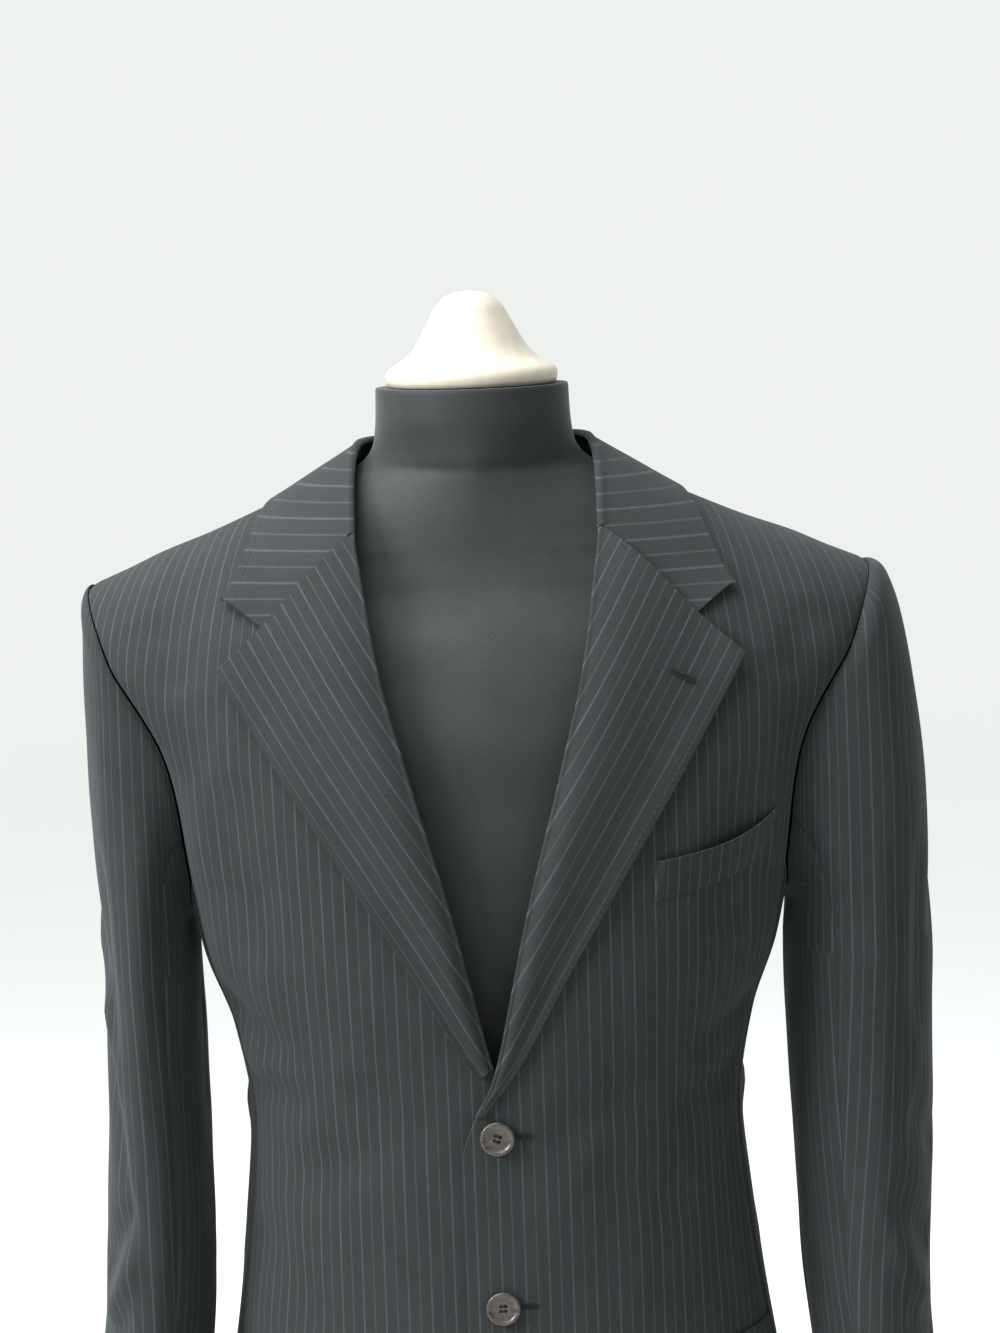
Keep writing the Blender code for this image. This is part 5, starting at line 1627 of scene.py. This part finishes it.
# %% [markdown]
# ## The form and its cap
# Under the suit is a padded torso covered in black jersey, with no arms or legs. It shows
# as a neck and, in the opening of the jacket, as a chest. On its neck sits a turned wooden
# cap: a rounded rim, then a hollow sweep up to a small round top. The form is a stack of
# rings, and the cap is a profile spun round, both with far more steps than the plain ones.

# %% Form and cap
NECK_CENTRE_Y = -0.0028
SEAT_GAP = 0.0007
SHOULDER_RIDGES = (0.186, 0.165, 0.140, 0.115, 0.095, 0.083, 0.074)
NECK_POWERS = (1.24, 1.12, 1.0, 1.0)
FORM_BREAK_Z = 1.42
END_TUCK = 0.0005                # the first and last rings are drawn in by this much
rows = [(z, *form_size(z), 1.0) for z in FORM["z"]]
for x in SHOULDER_RIDGES:
    ridge = float(shoulder_z(x)) - WALL * 1.09 - SEAT_GAP
    share = (x - SHOULDER_RIDGES[-1]) / (SHOULDER_RIDGES[0] - SHOULDER_RIDGES[-1])
    rows.append((ridge, x, 0.058 + 0.008 * share, 0.053 + 0.010 * share, 1.34 - 0.20 * share))
rows += zip(*(FORM_NECK[k] for k in ("z", "half_width", "front", "back")), NECK_POWERS)
rows = np.array(rows)
form_z = np.concatenate([np.linspace(rows[0, 0], FORM_BREAK_Z, 70)[:-1],
                         np.linspace(FORM_BREAK_Z, rows[-1, 0] - 0.0012, 90), [rows[-1, 0]]])
rings = []
for z in form_z:
    *reaches, power = (float(smooth(rows[:, 0], rows[:, k], z)) for k in (1, 2, 3, 4))
    tuck = END_TUCK if z in (form_z[0], form_z[-1]) else 0.0
    rings.append(form_ring(z, *(reach - tuck for reach in reaches), power))
rings = np.array(rings)


def ring_faces(count, segments):
    """Quads between neighbouring rings of points, each ring closed on itself."""
    return [(r * segments + c, r * segments + (c + 1) % segments,
             (r + 1) * segments + (c + 1) % segments, (r + 1) * segments + c)
            for r in range(count - 1) for c in range(segments)]


count, segments = rings.shape[:2]
ends = [tuple(reversed(range(segments))), tuple((count - 1) * segments + c for c in range(segments))]
form_mesh = mesh_of("form_cover", rings.reshape(-1, 3), ring_faces(count, segments) + ends)
form = finished("form_cover", form_mesh, JERSEY)
stand_for(form, "form_body")
print("form", len(form.data.polygons), "faces")

# %% The cap


def turned(name, profile, segments, finish, crease=50):
    """A profile of radius and height spun round the Z axis, closed on the axis."""
    angles = [2 * math.pi * i / segments for i in range(segments)]
    points = [(r * math.cos(a), r * math.sin(a), z) for r, z in profile[1:-1] for a in angles]
    size = len(points)
    points += [(0.0, 0.0, profile[0][1]), (0.0, 0.0, profile[-1][1])]
    faces = ring_faces(len(profile) - 2, segments)
    for i in range(segments):
        j = (i + 1) % segments
        faces += [(size, j, i), (size + 1, size - segments + i, size - segments + j)]
    return finished(name, mesh_of(name, points, faces), finish, crease)


CAP = ((0, 0), (0.0500, 0), (0.0519, 0.0025), (0.0523, 0.0060), (0.0510, 0.0095), (0.0470, 0.0125),
       (0.0410, 0.0160), (0.0350, 0.0220), (0.0300, 0.0300), (0.0250, 0.0390), (0.0190, 0.0490),
       (0.0110, 0.0548), (0, 0.0566))


def rounded(profile, steps):
    """More points along a profile, on a smooth curve through it."""
    profile = np.array(profile)
    far = walk(profile)
    at = np.concatenate([[0.0], np.linspace(far[1], far[-1], steps)])
    return [(float(smooth(far, profile[:, 0], s)), float(smooth(far, profile[:, 1], s))) for s in at]


cap = turned("wooden_cap", rounded(CAP, 64), 96, WOOD)
cap.data.transform(Matrix.Translation((0.0, NECK_CENTRE_Y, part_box("neck_cap")[0][2])))
stand_for(cap, "neck_cap")
print("cap", len(cap.data.polygons), "faces")

# %% [markdown]
# ## Buttons
# Each front button is a dish of horn with a raised rim and four holes, sewn on with a few
# strands of thread. A lathe profile gives the dish; four small cylinders cut the holes
# with a Boolean, which is exact and quick on so small a mesh. One button is made at unit
# size, then copied, turned and scaled to its place in its own mesh.

# %% Buttons
BUTTON_PROFILE = ((0, 0), (0.70, 0), (0.90, 0.07), (0.985, 0.17), (1.0, 0.25), (0.97, 0.33), (0.90, 0.365),
                  (0.82, 0.35), (0.74, 0.29), (0.66, 0.255), (0.30, 0.235), (0, 0.23))
HOLE_RADIUS = 0.095
HOLE_OUT = 0.20

def as_mesh(obj):
    """The finished mesh of an object with modifiers, which is then taken away."""
    bpy.context.view_layer.update()
    made = bpy.data.meshes.new_from_object(obj.evaluated_get(bpy.context.evaluated_depsgraph_get()))
    bpy.data.objects.remove(obj)
    return made


dish = turned("button_blank", rounded(BUTTON_PROFILE, 40), 64, HORN)
cutter_mesh = bpy.data.meshes.new("hole_cutters")
bm = bmesh.new()
for angle in np.radians((45, 135, 225, 315)):
    place = Matrix.Translation((HOLE_OUT * math.cos(angle), HOLE_OUT * math.sin(angle), 0.2))
    bmesh.ops.create_cone(bm, cap_ends=True, segments=16, radius1=HOLE_RADIUS, radius2=HOLE_RADIUS,
                          depth=1.0, matrix=place)
bm.to_mesh(cutter_mesh)
bm.free()
cutters = add_object("hole_cutters", cutter_mesh)
drill = dish.modifiers.new("holes", "BOOLEAN")
drill.operation = "DIFFERENCE"
drill.solver = "EXACT"
drill.object = cutters
drilled = as_mesh(dish)
bpy.data.objects.remove(cutters)
drilled.materials.clear()
drilled.materials.append(HORN)
print("one drilled button has", len(drilled.polygons), "faces")

# %% Buttons in place


def button_place(node):
    """Foot, outward axis and radius of a packed button, from its box and its thin direction."""
    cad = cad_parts[node].data
    points = np.zeros(len(cad.vertices) * 3)
    cad.vertices.foreach_get("co", points)
    points = np.unique(points.reshape(-1, 3).round(6), axis=0)
    middle = points.mean(axis=0)
    axis = np.linalg.svd(points - middle)[2][2]
    if axis[1] * (-1 if node.startswith("front") else 1) < 0:
        axis = -axis
    height = (points - middle) @ axis
    flat = points - middle - height[:, None] * axis
    centre = (points.min(axis=0) + points.max(axis=0)) / 2
    foot = centre + axis * (height.min() - float((centre - middle) @ axis))
    return foot, axis, float(np.linalg.norm(flat, axis=-1).max())


BUTTON_PLACES = {}
for node in sorted(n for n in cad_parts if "button" in n):
    foot, axis, radius = button_place(node)
    turn = Vector((0, 0, 1)).rotation_difference(Vector(axis)).to_matrix().to_4x4()
    spin = Matrix.Rotation(0.35 * len(BUTTON_PLACES), 4, "Z")
    place = Matrix.Translation(Vector(foot)) @ turn @ spin @ Matrix.Scale(radius, 4)
    mesh = drilled.copy()
    mesh.transform(place)
    stand_for(add_object(node + "_horn", mesh), node)
    BUTTON_PLACES[node] = place
print(len(BUTTON_PLACES), "buttons; front radius", round(radius, 4))

# %% [markdown]
# ## Stitches that follow a path
# Hand stitches repeat along a line: a row of small pricks beside each finished edge, close
# purls round each buttonhole, and the strands that hold a button. Geometry Nodes place them:
# the tree walks a path, spaces points by a pitch and sets one small stitch on each, turned
# to the direction that the path carries. Modelling each would be slow to change.

# %% The stitch tree


def stitch_tree():
    tree = bpy.data.node_groups.new("stitches", "GeometryNodeTree")
    face = tree.interface
    face.new_socket("Path", in_out="INPUT", socket_type="NodeSocketGeometry")
    for label, value in (("Pitch", 0.004), ("Length", 0.0015), ("Radius", 0.0003)):
        face.new_socket(label, in_out="INPUT", socket_type="NodeSocketFloat").default_value = value
    face.new_socket("Thread", in_out="INPUT", socket_type="NodeSocketMaterial")
    face.new_socket("Stitches", in_out="OUTPUT", socket_type="NodeSocketGeometry")

    add = Sock(tree).node
    names = ("Path", "Pitch", "Length", "Radius", "Thread")
    entry = tree.nodes.new("NodeGroupInput")
    path, pitch, length, radius, thread = (Sock(tree, entry.outputs[name]) for name in names)
    curve = add("GeometryNodeMeshToCurve", None, {"Mesh": path})
    spaced = add("GeometryNodeResampleCurve", {"mode": "LENGTH"}, {"Curve": curve, "Length": pitch})
    bead = add("GeometryNodeMeshUVSphere", None, {"Segments": 6, "Rings": 4, "Radius": 1.0})
    way = add("GeometryNodeInputNamedAttribute", {"data_type": "FLOAT_VECTOR"}, {"Name": "aim"})
    turn = add("FunctionNodeAlignRotationToVector", {"axis": "Z"}, {"Vector": way})
    size = add("ShaderNodeCombineXYZ", None, {"X": radius, "Y": radius, "Z": length * 0.5})
    placed = add("GeometryNodeInstanceOnPoints", None,
                 {"Points": spaced, "Instance": bead, "Rotation": turn, "Scale": size})
    real = add("GeometryNodeRealizeInstances", None, {"Geometry": placed})
    painted = add("GeometryNodeSetMaterial", None, {"Geometry": real, "Material": thread})
    feed(tree, tree.nodes.new("NodeGroupOutput").inputs[0], painted)
    return tree


STITCHES = stitch_tree()
print("the tree has", len(STITCHES.nodes), "nodes")

# %% Running the tree


def stitch(name, paths, pitch, length, radius, slot="suiting"):
    """Run the tree along paths of (points, directions) and keep the plain mesh."""
    points = np.concatenate([p for p, _ in paths])
    aims = np.concatenate([np.broadcast_to(a, p.shape) for p, a in paths])
    edges = []
    at = 0
    for p, _ in paths:
        edges += [(at + k, at + k + 1) for k in range(len(p) - 1)]
        at += len(p)
    mesh = mesh_of(name + "_path", points, [], edges)
    mesh.attributes.new("aim", "FLOAT_VECTOR", "POINT").data.foreach_set(
        "vector", np.ascontiguousarray(aims, np.float32).ravel())
    path = add_object(name + "_path", mesh)
    modifier = path.modifiers.new("stitches", "NODES")
    modifier.node_group = STITCHES
    values = {"Pitch": pitch, "Length": length, "Radius": radius, "Thread": THREAD}
    for item in STITCHES.interface.items_tree:
        if item.in_out == "INPUT" and item.name in values:
            modifier[item.identifier] = values[item.name]
    made = as_mesh(path)
    made.shade_smooth()
    piece = add_object(name, made)
    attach(piece, "root")
    print(name, len(made.polygons), "faces")


def with_way(points):
    """A path and its unit direction at each of its points."""
    return points, unit(np.gradient(points, axis=0))

# %% [markdown]
# ## Prick stitches, buttonholes and button thread
# Prick stitches in dark silk thread hold the edges of the lapels, collar and flaps
# about six millimetres in. The lapel's buttonhole is a flat bar of purl stitches near its top,
# aimed across the lapel. The two front buttonholes lie under their buttons.

# %% Stitches in place
def edge_line(grid, inside, side=1):
    """The fifth line of points from a grid's last column, just off the cloth."""
    line = grid[:, -5] + normals_of(grid, inside)[:, -5] * 0.0001
    return side_of(line, side)


paths = [with_way(edge_line(LAPELS[side], LAPEL_INSIDE, side)[4:-2]) for side in SIDES]
paths.append(with_way(edge_line(COLLAR_GRID, COLLAR_INSIDE)[4:-4]))
for side in SIDES:
    sideways = FLAPS[side].swapaxes(0, 1)
    paths.append(with_way(edge_line(sideways, FLAP_INSIDE, side)[4:-4]))
stitch("prick_stitches", paths, 0.0042, 0.0013, 0.00016)

# %% Buttonholes


def slot_path(start, end, off, half_width=0.0009, steps=40, lift=None):
    """A long narrow loop on the front between two spots of x and z, and the way across it."""
    start, end = np.array(start), np.array(end)
    half = np.linalg.norm(end - start) / 2
    way = (end - start) / (2 * half)
    side_way = np.array([-way[1], way[0]])
    turns = np.linspace(0, 2 * math.pi, steps * 2 + 1)
    spread = np.sign(np.cos(turns)) * np.abs(np.cos(turns)) ** 0.35
    spots = (start + end) / 2 + half * spread[:, None] * way
    spots = spots + half_width * np.sin(turns)[:, None] * side_way
    offs = np.full(len(spots), off)
    plain = off_front(*spots.T, offs)
    across = off_front(*(spots + side_way * 0.001).T, offs)
    return (plain if lift is None else lift(plain)), unit(across - plain)


def lapel_height(x, z):
    """How far the left lapel's face is off the front at a spot, read from its own grid."""
    spots = LAPELS[1].reshape(-1, 3)
    spot = spots[np.argmin((spots[:, 0] - x) ** 2 + (spots[:, 2] - z) ** 2)]
    return float(np.linalg.norm(spot - front_at(spot[0], spot[2])))


PURLS = (0.00055, 0.0019, 0.00030)       # pitch, length and radius of buttonhole stitches
height = lapel_height(0.1135, 1.384)
hole = slot_path((0.1050, 1.3885), (0.1225, 1.3800), height + 0.0001)
stitch("lapel_buttonhole", [hole], *PURLS)
heights = [BUTTON_PLACES[node].translation[2] for node in ("front_button_1", "front_button_2")]
holes = [slot_path((-0.003, z), (0.0205, z), 0.0002, lift=overlap_lift) for z in heights]
stitch("front_buttonholes", holes, *PURLS)

# %% Button thread
strands = []
reach = HOLE_OUT * math.cos(math.radians(45))
xs = np.linspace(-reach, reach, 7)
high = 0.235 + 0.05 * (1 - (xs / reach) ** 4)
for place in BUTTON_PLACES.values():
    for y in (-reach, reach):
        for shift in (-0.03, 0.0, 0.03):
            line = [place @ Vector((a, y + shift, h)) for a, h in zip(xs, high)]
            strands.append(with_way(np.array(line)))
stitch("button_thread", strands, 0.0005, 0.0012, 0.00022, slot="button")

# %% [markdown]
# ## Measuring up
# The box round everything shown, less the floor, is found, and the cloth of all the pieces
# is added up. The visual model may not outgrow the imported one.

# %% Sizes and the end
low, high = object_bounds()
print("whole cut:", round(sum(area for _, _, area in SHEETS), 2), "m2")
